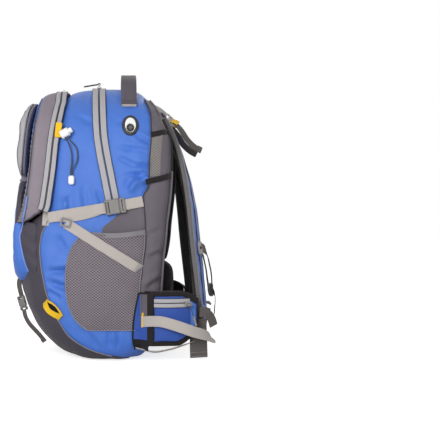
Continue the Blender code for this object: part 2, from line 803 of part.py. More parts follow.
def ladder_lock(name, width):
    """Tension-lock buckle: local X along the webbing, three slots across it and a wide lip to lift it by."""
    long, wide = width * 1.2, width + 0.007
    return plate(name, [
        moved(rounded(long + 0.002, wide, 0.003, 2), 0.001),
        moved(rounded(long * 0.17, width + 0.001, 0.001, 1), long * 0.27),
        moved(rounded(long * 0.17, width + 0.001, 0.001, 1), -long * 0.02),
        moved(rounded(long * 0.13, width + 0.001, 0.001, 1), -long * 0.29),
    ], 0.003, "grey_plastic")


# ---------------------------------------------------------------- compression straps
ANCHOR = (-0.124, 0.2725)        # where the upper strap is sewn, as (y, z)
BUCKLE_MOUTH = (0.008, 0.2945)   # the socket's mouth
REAR_SEWN = (0.050, 0.3025)      # where the rear webbing enters the seam
DIAGONAL_TOP = (-0.092, 0.262)
DIAGONAL_FOOT = (0.046, 0.176)
STRAP_LIFT = 0.0022
BUCKLE_LIFT = 0.0078
UNDER_BAR = 0.0004 + BAR_UNDER + WEB_THICK   # from a buckle's middle down to the webbing's lower face


def pocket_cover(side, y, z):
    """How far anything sewn on the side stands off the shell there."""
    if MESH_LOW < z <= MESH_HIGH + 0.004 and mesh_front_edge(z) - 0.002 < y < seam(z) + 0.002:
        return mesh_lift(y, min(z, MESH_HIGH)) + MESH_FABRIC
    return 0.0


def over_side(side, y, z, run, width, lift):
    """A point of a flat band over the side that keeps its whole width clear of what lies under it."""
    across = Vector((0, -run.z, run.y)).normalized()
    far = 0.0
    for share in (-0.5, -0.25, 0, 0.25, 0.5):
        at_y, at_z = y + across.y * width * share, z + across.z * width * share
        far = max(far, main_bag.side(at_y, at_z) + pocket_cover(side, at_y, at_z))
    return Vector((side * (far + lift), y, z))


def make_compression(tag):
    side = MIRROR[tag]
    outward = Vector((side, 0, 0))
    along = Vector((0, BUCKLE_MOUTH[0] - ANCHOR[0], BUCKLE_MOUTH[1] - ANCHOR[1])).normalized()
    mouth = surface(side, *BUCKLE_MOUTH, BUCKLE_LIFT)
    end = mouth - along * (WEB_WIDTH * SOCKET_LONG * 0.74) - outward * UNDER_BAR
    enter = end - along * 0.012
    upper = [over_side(side, ANCHOR[0], ANCHOR[1], along, WEB_WIDTH, STRAP_LIFT)]
    for share in (0.2, 0.4, 0.6, 0.8):
        y = ANCHOR[0] + (enter.y - ANCHOR[0]) * share
        z = ANCHOR[1] + (enter.z - ANCHOR[1]) * share
        upper.append(over_side(side, y, z, along, WEB_WIDTH, STRAP_LIFT))
    web = band("compression_web_" + tag, upper + [enter, end], outward, flat_section(WEB_WIDTH, WEB_THICK),
               "grey_webbing")
    fall = Vector((0, DIAGONAL_FOOT[0] - DIAGONAL_TOP[0], DIAGONAL_FOOT[1] - DIAGONAL_TOP[1])).normalized()
    count = 10
    lower = []
    for i in range(count + 1):
        share = i / count
        y = DIAGONAL_TOP[0] + (DIAGONAL_FOOT[0] - DIAGONAL_TOP[0]) * share
        z = DIAGONAL_TOP[1] + (DIAGONAL_FOOT[1] - DIAGONAL_TOP[1]) * share
        lower.append(over_side(side, y, z, fall, WEB_WIDTH, 0.0014))
    for _ in range(4):                      # a taut band bridges hollows
        for i in range(1, count):
            bridge = abs(lower[i - 1].x + lower[i + 1].x) / 2
            lower[i].x = side * max(bridge, abs(lower[i].x))
    diagonal = band("diagonal_" + tag, lower, outward, flat_section(WEB_WIDTH * 0.95, WEB_THICK), "grey_webbing")
    keeper = block("keeper_" + tag, (0.0075, 0.018, 0.026), "grey_plastic", bevel=0.001, segments=1)
    seat(keeper, surface(side, DIAGONAL_TOP[0] + 0.004, DIAGONAL_TOP[1] + 0.006, 0.0062), outward, (0, 0.25, 1))
    combine(web, diagonal, "UNION")
    combine(web, keeper, "UNION")
    socket = female_buckle("compression_buckle_" + tag, WEB_WIDTH)
    seat(socket, mouth, along, outward)
    clip = male_clip("compression_clip_" + tag, WEB_WIDTH)
    seat(clip, mouth, along, outward)
    start = mouth + along * (CLIP_STEP + WEB_WIDTH * 0.5 * 0.5) - outward * UNDER_BAR
    sewn = over_side(side, *REAR_SEWN, along, WEB_WIDTH, BACK_COVER + 0.0006)
    knots = [start, start + along * 0.007, (start + along * 0.007) * 0.4 + sewn * 0.6, sewn]
    band("compression_tail_" + tag, knots, outward, flat_section(WEB_WIDTH, WEB_THICK), "grey_webbing")


# ---------------------------------------------------------------- crown: haul handle and main slider
HANDLE_WIDTH = 0.030
HANDLE_THICK = 0.0035
HANDLE_Y = 0.027
HANDLE_DROP = 0.0345         # feet below the top of the bag
HANDLE_RISE = 0.0240         # crown of the loop above it
HANDLE_FOOT = MAIN[-1][0] - HANDLE_DROP
HANDLE_TOP = MAIN[-1][0] + HANDLE_RISE


def profile_normals(line):
    """Outward directions along a line that arches over the pack."""
    normals = []
    for i in range(len(line)):
        run = line[min(len(line) - 1, i + 1)] - line[max(0, i - 1)]
        normals.append(Vector((run.z, 0, -run.x)).normalized())
    return normals


def make_handle():
    foot = main_bag.side(HANDLE_Y, HANDLE_FOOT) + 0.0010
    reach = main_bag.side(HANDLE_Y, HANDLE_FOOT)
    knots = [(foot, HANDLE_Y, HANDLE_FOOT), (foot - 0.005, HANDLE_Y, HANDLE_FOOT + 0.016),
             (reach * 0.88, HANDLE_Y, HANDLE_FOOT + 0.034), (reach * 0.70, HANDLE_Y, HANDLE_TOP - 0.011),
             (reach * 0.40, HANDLE_Y, HANDLE_TOP - 0.002), (0, HANDLE_Y, HANDLE_TOP)]
    half = smooth_line(knots, 3)
    line = half + [Vector((-p.x, p.y, p.z)) for p in half[-2::-1]]
    return band("haul_handle", line, profile_normals(line), flat_section(HANDLE_WIDTH, HANDLE_THICK),
                "grey_nylon", (0, HANDLE_Y, HANDLE_FOOT))


CROWN_RADIUS = 0.300         # the crown's curve across the pack, near its middle
BAIL_HEIGHT = 0.0089         # the bail's bar over the slider's foot
SLIDER_FOOT = 0.0050         # of the slider's underside over the bag, clear of the teeth


def slider_body(name, height=0.0):
    """Zip slider: a plate with a bail standing on it, so high over its own origin."""
    long, wide, deep = 0.014, 0.0085, 0.0030
    body = block(name, (long, wide, deep), "metal", bevel=0.0008, at=(0, 0, height + deep / 2), segments=1)
    bail = plate(name + "_bail", [rounded(0.012, 0.0072, 0.0026, 2), rounded(0.0076, 0.0036, 0.0012, 2)],
                 0.0018, "metal")
    bail.data.transform(Matrix.Rotation(math.pi / 2, 4, "X"))
    bail.data.transform(Matrix.Translation((0, 0, height + 0.0062)))
    return combine(body, bail, "UNION")


def pull_tab(name, finish):
    """Pull: a ring threaded on the bail's bar and a flat grip along local +X."""
    bar, ring, thick = 0.0017, 0.0029, 0.0024
    turn = [2 * math.pi * i / 12 for i in range(12)]
    eye = plate(name, [[(ring * math.cos(a), ring * math.sin(a)) for a in turn],
                       [(bar * math.cos(a), bar * math.sin(a)) for a in turn]], thick, finish)
    eye.data.transform(Matrix.Rotation(math.pi / 2, 4, "X"))
    grip = block(name + "_grip", (0.030, 0.0085, 0.0020), finish, bevel=0.0008, at=(0.0172, 0, 0), segments=1)
    return combine(eye, grip, "UNION")


def crown_top(line):
    """Top of the main bag in a zipper's sheet."""
    return Vector((0, line(0.54), 0.40 + main_bag.reach(line, 0.40, math.pi / 2)))


def make_main_slider():
    top = crown_top(zip_line)
    slider = slider_body("slider_main", CROWN_RADIUS + SLIDER_FOOT)
    seat(slider, top - Vector((0, 0, CROWN_RADIUS)), (1, 0, 0), (0, 0, 1))
    pull = pull_tab("pull_main", "dark_webbing")
    seat(pull, top + Vector((0, 0, SLIDER_FOOT + BAIL_HEIGHT)), (0, -1, -0.16), (0, -0.16, 1))


def make_organizer_slider():
    line, _ = organizer_line()
    top = line[len(line) // 2]
    slider = slider_body("slider_organizer", TEETH + 2 * GAP)
    return seat(slider, top, (1, 0, 0), (0, 0, 1))


POCKET_ARC = (0.021, 0.4115)     # x and z of the middle of the pocket's rounded left side
POCKET_ARC_RADIUS = 0.128
POCKET_ARC_LEAN = 0.092          # the seam leans back as it climbs
POCKET_SLIDER_ANGLE = math.radians(-11.5)


def make_pocket_slider():
    """Slider of the front pocket, low on its left side; it runs round that side's arc."""
    up = Vector((0, POCKET_ARC_LEAN, 1)).normalized()
    out = Vector((-1, 0, 0))
    c, s = math.cos(POCKET_SLIDER_ANGLE), math.sin(POCKET_SLIDER_ANGLE)
    centre = (POCKET_ARC[0], pocket_rim(POCKET_ARC[1]), POCKET_ARC[1])
    slider = slider_body("slider_front", POCKET_ARC_RADIUS + 0.0004)
    return seat(slider, centre, up * c - out * s, out * c + up * s)


# ---------------------------------------------------------------- shoulder straps and what they carry
STRAP_LINE = [(0.048, 0.0970, 0.463), (0.060, 0.118, 0.420), (0.074, 0.136, 0.359), (0.083, 0.147, 0.297),
              (0.088, 0.154, 0.230), (0.092, 0.160, 0.173), (0.096, 0.1655, 0.116), (0.099, 0.170, 0.066)]
STRAP_WIDTHS = [0.052, 0.058, 0.064, 0.066, 0.062, 0.056, 0.050, 0.040]
STRAP_TURN = [4, 8, 12, 15, 17, 18, 18, 16]      # degrees that the outer face turns outwards
STRAP_STEPS = 2


def strap_frames(side):
    """Along the strap: (centre, way across it, outer normal, width)."""
    line = smooth_line([(side * x, y, z) for x, y, z in STRAP_LINE], STRAP_STEPS)
    made = []
    for i, point in enumerate(line):
        low = min(i // STRAP_STEPS, len(STRAP_LINE) - 2)
        part = i / STRAP_STEPS - low
        width = STRAP_WIDTHS[low] + (STRAP_WIDTHS[low + 1] - STRAP_WIDTHS[low]) * part
        turn = math.radians(STRAP_TURN[low] + (STRAP_TURN[low + 1] - STRAP_TURN[low]) * part)
        run = (line[min(len(line) - 1, i + 1)] - line[max(0, i - 1)]).normalized()
        normal = Vector((side * math.sin(turn), math.cos(turn), 0))
        normal = (normal - run * normal.dot(run)).normalized()
        made.append((point, run.cross(normal), normal, width))
    return made


def make_strap(tag):
    side = MIRROR[tag]
    line = strap_frames(side)
    rings = []
    for i, (point, across, normal, width) in enumerate(line):
        thick = PAD * (0.6 if i in (0, len(line) - 1) else 1.0)
        half = width / 2
        ring = [(-half, -0.15), (-half * 0.88, -0.5), (half * 0.88, -0.5), (half, -0.15), (half, 0.15),
                (half * 0.88, 0.5), (-half * 0.88, 0.5), (-half, 0.15)]
        rings.append([point + across * a + normal * (b * thick) for a, b in ring])
    root = STRAP_LINE[0]
    strap = loft("shoulder_strap_" + tag, rings, "blue_nylon", (0, root[1], root[2]))
    lock = ladder_lock("lifter_lock_" + tag, WEB_WIDTH)
    seat(lock, lifter_lock_at(side), LIFTER_RUN, LIFTER_UP)
    combine(strap, lock, "UNION")
    post = block("lifter_post_" + tag, (0.010, WEB_WIDTH * 0.9, 0.012), "grey_webbing")
    seat(post, lifter_lock_at(side) - Vector(LIFTER_UP) * 0.006 + LIFTER_RUN * 0.001, LIFTER_RUN, LIFTER_UP)
    combine(strap, post, "UNION")
    tail = [lifter_lock_at(side) + LIFTER_RUN * 0.0100 + Vector((0, 0.0008, 0.0006)), (side * 0.052, 0.128, 0.450),
            (side * 0.052, 0.144, 0.426), (side * 0.050, 0.160, 0.411), (side * 0.049, 0.171, 0.405)]
    ribbon = band("lifter_tail_" + tag, smooth_line(tail, 2), LIFTER_UP, flat_section(WEB_WIDTH * 0.8, 0.0022),
                  "grey_webbing")
    combine(strap, ribbon, "UNION")
    low, across, normal, _ = line[-1]
    run = across.cross(normal) * -1
    tongue = band("lock_tongue_" + tag, [low - run * 0.006 - normal * 0.0024, low + run * 0.020 - normal * 0.0024],
                  normal, flat_section(WEB_WIDTH * 0.9, WEB_THICK), "grey_webbing")
    return combine(strap, tongue, "UNION")


LIFTER_RUN = Vector((0, 0.72, -0.69)).normalized()
LIFTER_UP = Vector((0, 0.69, 0.72)).normalized()
LIFTER_SEWN = (0.050, 0.4925)


def lifter_lock_at(side):
    return Vector((side * STRAP_LINE[0][0], 0.1085, 0.4680))


def make_load_lifter(tag):
    """Webbing from the top of the back to the lock on the strap, passing under the lock's first bar."""
    side = MIRROR[tag]
    x, z = LIFTER_SEWN
    start = Vector((side * x, main_bag.back_at(x, z) + 0.0026, z))
    end = lifter_lock_at(side) - LIFTER_RUN * 0.0150 + LIFTER_UP * 0.0002
    middle = (start + end) / 2 + LIFTER_UP * 0.0012
    return band("load_lifter_" + tag, [start, middle, end], LIFTER_UP, flat_section(WEB_WIDTH, WEB_THICK),
                "grey_webbing")


LOWER_LOCK_DROP = 0.0150     # from the strap's end to the middle of the ladder lock


def lower_lock_seat(side):
    """(hinge, run, normal) of the ladder lock at the strap's end."""
    low, across, normal, _ = strap_frames(side)[-1]
    run = across.cross(normal) * -1
    return low + run * 0.0045 + normal * 0.0022, run, normal


def make_lower_lock(tag):
    hinge, run, normal = lower_lock_seat(MIRROR[tag])
    lock = ladder_lock("lower_lock_" + tag, WEB_WIDTH)
    lock.data.transform(Matrix.Translation((LOWER_LOCK_DROP - 0.0045, 0, 0)))
    return seat(lock, hinge, run, normal)


def make_lower_web(tag):
    """Webbing from the pack's lower side, outside the hip wing, to the ladder lock."""
    side = MIRROR[tag]
    hinge, run, normal = lower_lock_seat(side)
    last = hinge + run * (LOWER_LOCK_DROP + 0.0020) + normal * 0.0022
    knots = [(0.1587, 0.0480, 0.0785), (0.1705, 0.0560, 0.0800), (0.1795, 0.0670, 0.0815), (0.190, 0.084, 0.082),
             (0.1955, 0.112, 0.075), (0.189, 0.142, 0.064), (0.168, 0.168, 0.054), (0.140, 0.1825, 0.044)]
    normals = [(1, -0.5, 0), (0.75, -0.65, 0), (0.8, -0.6, 0), (0.9, -0.35, 0), (1, 0.1, 0), (0.85, 0.5, 0),
               (0.6, 0.8, 0), (0.4, 0.9, 0), (side * normal.x, normal.y, normal.z)]
    line = [Vector((side * x, y, z)) for x, y, z in knots]
    line = smooth_line(line + [Vector(last)], 2)
    spread = smooth_line([(side * n[0], n[1], n[2]) for n in normals], 2)
    return band("lower_web_" + tag, line, spread, flat_section(WEB_WIDTH, WEB_THICK), "grey_webbing")


# ---------------------------------------------------------------- sternum strap
STERNUM_KNOT = 9             # of the strap's frames, the one that carries the slider
STERNUM_WEB = 0.018
STERNUM_MIDDLE = Vector((-0.006, 0.1955, 0.126))


def make_sternum():
    """Web from each strap's slider to the buckle that hangs in the middle."""
    width = STERNUM_WEB
    for tag, side in MIRROR.items():
        point, across, normal, _ = strap_frames(side)[STERNUM_KNOT]
        inward = across if across.x * side < 0 else -across
        run = across.cross(normal) * -1
        face = point + normal * (PAD / 2)
        if side > 0:
            end = STERNUM_MIDDLE + Vector((width * SOCKET_LONG * 0.74, -UNDER_BAR, 0))
        else:
            end = STERNUM_MIDDLE + Vector((-(CLIP_STEP + width * 0.25), -UNDER_BAR, 0))
        entry = end + Vector((side * 0.009, 0, 0))
        knots = [face + normal * 0.0024 + inward * 0.004, face + normal * 0.0034 + inward * 0.018,
                 face + normal * 0.0050 + inward * 0.034 + run * 0.004, entry + Vector((side * 0.018, 0.0005, 0.012)),
                 entry, end]
        web = band("sternum_web_" + tag, smooth_line(knots, 2), Vector((0, 1, 0)),
                   flat_section(width, WEB_THICK), "dark_webbing")
        slider = block("sternum_slider_" + tag, (0.026, 0.024, 0.0045), "grey_plastic", bevel=0.001, segments=1)
        seat(slider, face + normal * 0.0031, run, normal)
        combine(web, slider, "UNION")
    seat(female_buckle("sternum_buckle", width), STERNUM_MIDDLE, (-1, 0, 0), (0, 1, 0))
    seat(male_clip("sternum_clip", width), STERNUM_MIDDLE, (-1, 0, 0), (0, 1, 0))


# ---------------------------------------------------------------- hip belt
WING_SEAM = (0.1655, 0.064)
WING_PAD = 0.010
WING_LOW, WING_HIGH = 0.032, 0.134
WING_LENGTH = 0.086
WING_START = 0.003
WING_ROOT = 0.0575           # where the wing is sewn to the pack's side
HIP_POCKET_INNER = 0.0064    # from the wing's middle line out to the pocket's back
HIP_ZIP_Z = 0.112


def wing_ring(side, share, inner, outer, trim=0.0):
    """A level of the wing: low and high draw together at the tip, and the wing turns inwards."""
    tip = max(0.0, share - 0.55) / 0.45
    low = WING_LOW + 0.004 + 0.030 * tip ** 1.6 + trim
    high = WING_HIGH - 0.014 * tip ** 2.5 - trim
    x, y = wing_middle(share)
    edge = (outer - inner) * 0.3
    return [(side * (x + inner), y, low + edge), (side * (x + inner + edge), y, low),
            (side * (x + outer - edge), y, low), (side * (x + outer), y, low + edge),
            (side * (x + outer), y, high - edge), (side * (x + outer - edge), y, high),
            (side * (x + inner + edge), y, high), (side * (x + inner), y, high - edge)]


def wing_middle(share):
    return WING_SEAM[0] - 0.016 * share ** 2, WING_SEAM[1] + WING_START + WING_LENGTH * share


def make_wing(tag):
    side = MIRROR[tag]
    rings = [wing_ring(side, i / 7, -0.004, WING_PAD - 0.004, 0.003 if i == 7 else 0) for i in range(8)]
    inner = max(main_bag.side(WING_ROOT, z) for _, _, z in rings[0]) + BACK_COVER + GAP
    root = [(side * (inner + (0.0 if i in (0, 1, 6, 7) else WING_PAD * 0.5)), WING_ROOT, z)
            for i, (_, _, z) in enumerate(rings[0])]
    rings.insert(0, root)
    return loft("hip_wing_" + tag, rings, "blue_nylon", (side * inner, WING_ROOT, WING_LOW))


def hip_pocket_depth(share):
    return 0.003 + 0.007 * math.sin(math.pi * min(1.0, max(0.0, (share + 0.01) / 0.95)))


def make_hip_pocket():
    """Zipped pocket on the right wing, with its zipper sewn along the upper part."""
    shares = [0.06 + 0.80 * i / 7 for i in range(8)]
    rings = [wing_ring(1, share, HIP_POCKET_INNER, HIP_POCKET_INNER + hip_pocket_depth(share), 0.007)
             for share in shares]
    pocket = loft("hip_pocket", rings, "blue_nylon")
    line = []
    for share in shares[1:-1]:
        x, y = wing_middle(share)
        line.append((x + HIP_POCKET_INNER + hip_pocket_depth(share) - 0.0004, y, HIP_ZIP_Z))
    tape = band("hip_zipper", line, (1, 0, 0), zip_section(0.014), "zipper_tape")
    return combine(pocket, tape, "UNION")


HIP_ARC = (0.1090, 0.0950)       # x and y of the middle of the hip pocket's bulge
HIP_ARC_RADIUS = 0.0722
HIP_SLIDER_ANGLE = math.radians(33)


def make_hip_slider():
    """Slider of the hip pocket, near its front end; it runs round the pocket's bulge."""
    out = Vector((math.cos(HIP_SLIDER_ANGLE), math.sin(HIP_SLIDER_ANGLE), 0))
    slider = slider_body("slider_hip", HIP_ARC_RADIUS + 0.0013)
    return seat(slider, (*HIP_ARC, HIP_ZIP_Z), (-out.y, out.x, 0), out)


HIP_WEB_LINES = {
    "r": [(0.1430, 0.1560, 0.0820), (0.1430, 0.1562, 0.0640), (0.1425, 0.1570, 0.0420), (0.1410, 0.1575, 0.0240),
          (0.1400, 0.1580, 0.0090)],
    "l": [(0.1500, 0.1540, 0.0850), (0.1495, 0.1600, 0.0850), (0.1485, 0.1680, 0.0840), (0.1470, 0.1760, 0.0815)],
}


def make_hip_web(tag):
    """Wide belt webbing: the right one hangs behind the wing's tip, the left one carries the clip."""
    side = MIRROR[tag]
    line = smooth_line([(side * x, y, z) for x, y, z in HIP_WEB_LINES[tag]], 2)
    turn = 0.2 if tag == "l" else 0.0
    normals = [Vector((side * 0.9, 0.1 + turn * i / len(line), 0)) for i in range(len(line))]
    web = band("hip_web_" + tag, line, normals, flat_section(HIP_WEB_WIDTH * 0.88, WEB_THICK), "dark_webbing")
    if tag == "l":
        run = (line[-1] - line[-2]).normalized()
        clip = male_clip("hip_clip", HIP_WEB_WIDTH * 0.8)
        seat(clip, line[-1] + run * 0.014, -run, normals[-1])
        combine(web, clip, "UNION")
    return web


# ---------------------------------------------------------------- mat straps at the front of the base
MAT_X = 0.080
MAT_MOUTH = (-0.1790, 0.1000)
MAT_RUN = Vector((0, 0.28, -1)).normalized()
MAT_UP = Vector((0, -1, -0.28)).normalized()
MAT_TAIL = [(-0.1745, 0.0800), (-0.1690, 0.0690), (-0.1580, 0.0560), (-0.1450, 0.0420), (-0.1360, 0.0310)]


def make_mat_strap(tag):
    x = MIRROR[tag] * MAT_X
    mouth = Vector((x, *MAT_MOUTH))
    end = mouth - MAT_RUN * (MAT_WEB_WIDTH * SOCKET_LONG * 0.74) - MAT_UP * UNDER_BAR
    start = Vector((x, main_bag.front_at(MAT_X, 0.148) - 0.0060, 0.148))
    web = band("mat_strap_" + tag, [start, end - MAT_RUN * 0.012, end], MAT_UP,
               flat_section(MAT_WEB_WIDTH, WEB_THICK), "dark_webbing")
    socket = female_buckle("mat_buckle_" + tag, MAT_WEB_WIDTH)
    seat(socket, mouth, MAT_RUN, MAT_UP)
    root = block("mat_root_" + tag, (MAT_WEB_WIDTH, 0.0036, 0.012), "dark_webbing")
    seat(root, start + Vector((0, 0.0010, -0.003)), (1, 0, 0), (0, 0.1, 1))
    combine(socket, band_over(mouth, end, tag), "UNION")
    combine(web, root, "UNION")
    combine(web, socket, "UNION")
    clip = male_clip("mat_clip_" + tag, MAT_WEB_WIDTH)
    seat(clip, mouth, MAT_RUN, MAT_UP)
    first = mouth + MAT_RUN * (CLIP_STEP + MAT_WEB_WIDTH * 0.5 * 0.9)
    tail = [first] + [Vector((x, y, z)) for y, z in MAT_TAIL]
    combine(clip, band("mat_tail_" + tag, smooth_line(tail, 2), MAT_UP, flat_section(MAT_WEB_WIDTH * 0.9, 0.0020),
                       "dark_webbing"), "UNION")
    return web


def band_over(mouth, end, tag):
    """The webbing's turn round the socket's bar, which holds the two together."""
    turn = block("mat_turn_" + tag, (0.0024, MAT_WEB_WIDTH * 0.9, 0.0040), "dark_webbing")
    return seat(turn, end + MAT_UP * 0.0016, MAT_RUN, MAT_UP)


# ---------------------------------------------------------------- loops, tool keepers and the cable port
LOOP_AT = (-0.115, 0.1005)


def make_gear_loop(tag):
    """Folded webbing loop low on the front side."""
    side = MIRROR[tag]
    outward = side_normal(side, *LOOP_AT, 0.014)
    run = Vector((0, 0.55, -0.62))
    rise, half, thick = 0.010, 0.016, 0.0022
    outer = smooth_line([(-half, 0, 0), (-half * 0.62, 0, rise * 0.82), (0, 0, rise), (half * 0.62, 0, rise * 0.82),
                         (half, 0, 0)], 2)
    ring = [(p.x, p.z) for p in outer]
    inner = [(x * 0.78, max(thick, z - thick)) for x, z in ring[1:-1]][::-1]
    loop = plate("gear_loop_" + tag, [ring, inner], 0.019, "yellow_webbing")
    loop.data.transform(Matrix.Rotation(math.pi / 2, 4, "X"))
    return seat(loop, surface(side, *LOOP_AT) + outward * 0.0028, run, outward)


KEEPERS = {
    "r": {"tab": (-0.0975, 0.4350), "lock": (-0.0905, 0.4270), "end": (-0.0812, 0.3420),
          "near": [(-0.0868, 0.4130), (-0.0815, 0.3960), (-0.0805, 0.3760), (-0.0832, 0.3510)],
          "far": [(-0.0810, 0.4160), (-0.0715, 0.4010), (-0.0710, 0.3780), (-0.0792, 0.3510)]},
    "l": {"tab": (-0.1020, 0.3720), "lock": (-0.1005, 0.3540), "end": (-0.0970, 0.2980),
          "near": [(-0.1035, 0.3400), (-0.1050, 0.3300), (-0.1035, 0.3190), (-0.0990, 0.3070)],
          "far": [(-0.0970, 0.3400), (-0.0955, 0.3300), (-0.0945, 0.3190), (-0.0950, 0.3070)]},
}
LOCK_RADIUS = 0.0085
LOCK_LONG = 0.017
TAB_LIFT = 0.0019
KEEPER_LIFT = 0.0129         # the lock rests on its tab
CORD_DIP = 0.0077            # and the cord goes down from it, round the tab
CORD_LIFT = 0.0056
CORD_BORE = 0.0040


def keeper_frame(tag):
    """(centre of the lock, direction of its button, direction of the cord below it, way out)."""
    side = MIRROR[tag]
    spot = KEEPERS[tag]
    outward = side_normal(side, *spot["lock"])
    centre = surface(side, *spot["lock"]) + outward * KEEPER_LIFT
    middle = [(a + b) / 2 for a, b in zip(spot["near"][0], spot["far"][0])]
    down = Vector((0, *middle)) - Vector((0, *spot["lock"]))
    down = (down - outward * down.dot(outward)).normalized()
    button = down.cross(outward)
    if button.y < 0:
        button = -button
    return centre, button, down, outward


def make_keeper(tag):
    """Tab, cord lock with its button, elastic cord and cord end."""
    side = MIRROR[tag]
    spot = KEEPERS[tag]
    centre, button, down, outward = keeper_frame(tag)
    lock = cylinder("cord_lock_" + tag, LOCK_RADIUS, LOCK_LONG, "white_plastic", 16, bevel=0.0015)
    combine(lock, cylinder("lock_well_" + tag, 0.0058, LOCK_LONG, "white_plastic", 12, at=(0, 0, LOCK_LONG * 0.44)),
            "DIFFERENCE")
    combine(lock, block("lock_hole_" + tag, (LOCK_RADIUS * 3, CORD_BORE, 0.0092), "white_plastic"), "DIFFERENCE")
    seat(lock, centre, down, button)
    plunger = cylinder("cord_button_" + tag, 0.0052, 0.0080, "white_plastic", 12, bevel=0.001)
    seat(plunger, centre + button * (LOCK_LONG * 0.5 + 0.0024), down, button)
    strands = []
    for row, shift in (("near", -0.0023), ("far", 0.0023)):
        inside = centre + button * shift
        straight = [inside - down * (LOCK_RADIUS + 0.001), inside, inside + down * (LOCK_RADIUS + 0.001)]
        loose = [surface(side, y, z) + side_normal(side, y, z) * CORD_LIFT for y, z in spot[row]]
        strands.append(straight[:-1] + smooth_line([straight[-1]] + loose[1:], 2))
    if (strands[0][-1] - strands[1][-1]).length < CORD + 0.0006:
        raise ValueError("the two strands of the cord touch at the cord end")
    dip = [strand[0] - down * 0.0046 - outward * CORD_DIP for strand in strands]
    turn = (dip[0] + dip[1]) / 2 - down * 0.0022
    whole = strands[0][::-1] + [dip[0], turn, dip[1]] + strands[1]
    curve = bpy.data.curves.new("bungee_cord_" + tag, "CURVE")
    curve.dimensions = "3D"
    curve.bevel_depth = CORD / 2
    curve.bevel_resolution = 1
    curve.use_fill_caps = True
    spline = curve.splines.new("POLY")
    spline.points.add(len(whole) - 1)
    for point, where in zip(spline.points, whole):
        point.co = (*shifted(where), 1)
    cord = bpy.data.objects.new("bungee_cord_" + tag, curve)
    bpy.context.scene.collection.objects.link(cord)
    place(cord, "bungee_cord_" + tag, "cord")
    end_out = side_normal(side, *spot["end"])
    grip = block("cord_end_" + tag, (0.0085, 0.0110, 0.0165), "white_plastic", bevel=0.0024, segments=1)
    seat(grip, surface(side, *spot["end"]) + end_out * CORD_LIFT, end_out, (0, 0, 1))
    tab_out = side_normal(side, *spot["tab"])
    tab = block("bungee_tab_" + tag, (0.0030, 0.0125, 0.0240), "yellow_webbing", bevel=0.0006, segments=1)
    return seat(tab, surface(side, *spot["tab"]) + tab_out * TAB_LIFT, tab_out, (0, 0.1, 1))


PORT = (0.0290, 0.4460)
PORT_HALF = (0.0150, 0.0185)     # half width and half height of the oval
PORT_OUTLET = (-0.0002, -0.0075)


def make_port():
    """Oval rubber cable port on the right side: it follows the side, with a round outlet standing low in it."""
    lift, thick, count = 0.0008, 0.0022, 16
    rings = []
    for share, rise in ((0.55, 0.0), (1.0, 0.0), (1.0, 0.65), (0.90, 1.0), (0.55, 0.8)):
        ring = []
        for i in range(count):
            angle = 2 * math.pi * i / count
            y = PORT[0] + PORT_HALF[0] * share * math.cos(angle)
            z = PORT[1] + PORT_HALF[1] * share * math.sin(angle)
            ring.append(surface(1, y, z) + side_normal(1, y, z) * (lift + thick * rise))
        rings.append(ring)
    port = loft("headphone_port", rings, "frame_plastic")
    at = (PORT[0] + PORT_OUTLET[0], PORT[1] + PORT_OUTLET[1])
    outward = side_normal(1, *at)
    outlet = cylinder("port_outlet", 0.0058, 0.0036, "frame_plastic", 12)
    seat(outlet, surface(1, *at) + outward * (lift + 0.0022), (0, 0, 1), outward)
    return combine(port, outlet, "UNION")


# ---------------------------------------------------------------- assembly
def build():
    make_main_bag()
    make_main_zipper()
    make_organizer()
    make_organizer_zipper()
    make_front_pocket()
    make_flap()
    make_lower_pocket()
    make_back_panel()
    make_back_pad()
    make_frame_sheet()
    make_handle()
    make_main_slider()
    make_organizer_slider()
    make_pocket_slider()
    make_hip_pocket()
    make_hip_slider()
    make_port()
    make_sternum()
    for tag in MIRROR:
        make_mesh_pocket(tag)
        make_compression(tag)
        make_strap(tag)
        make_load_lifter(tag)
        make_lower_lock(tag)
        make_lower_web(tag)
        make_wing(tag)
        make_hip_web(tag)
        make_mat_strap(tag)
        make_gear_loop(tag)
        make_keeper(tag)


build()
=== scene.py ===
"""Looks of the daypack: sewn fabric, webbing, zippers, pads and cords dressed over the fixed frame.

Metres, +Z up, +Y towards the wearer, +X to the wearer's right. Sizes below are in the pack's drawing frame, which
lies DY in front of the frame's origin.
"""

import math

import bmesh
import bpy
import numpy as np
from mathutils import Matrix, Vector

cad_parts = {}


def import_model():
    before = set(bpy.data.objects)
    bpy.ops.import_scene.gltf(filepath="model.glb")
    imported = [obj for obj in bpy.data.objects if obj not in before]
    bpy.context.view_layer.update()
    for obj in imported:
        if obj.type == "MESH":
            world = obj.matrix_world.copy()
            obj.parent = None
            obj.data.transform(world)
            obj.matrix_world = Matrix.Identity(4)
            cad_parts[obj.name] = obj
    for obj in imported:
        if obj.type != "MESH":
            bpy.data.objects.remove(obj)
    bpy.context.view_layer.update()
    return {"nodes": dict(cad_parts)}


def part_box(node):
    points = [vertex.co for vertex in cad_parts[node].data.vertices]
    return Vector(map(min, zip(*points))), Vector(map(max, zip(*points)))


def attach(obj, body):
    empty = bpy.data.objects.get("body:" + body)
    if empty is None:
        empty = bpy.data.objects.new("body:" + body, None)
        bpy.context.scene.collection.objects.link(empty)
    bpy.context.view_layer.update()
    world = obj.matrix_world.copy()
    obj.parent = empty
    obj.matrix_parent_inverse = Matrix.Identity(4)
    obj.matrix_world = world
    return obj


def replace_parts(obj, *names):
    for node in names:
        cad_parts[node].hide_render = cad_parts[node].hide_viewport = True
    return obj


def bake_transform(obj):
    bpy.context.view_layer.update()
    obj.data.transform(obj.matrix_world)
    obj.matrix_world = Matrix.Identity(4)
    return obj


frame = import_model()

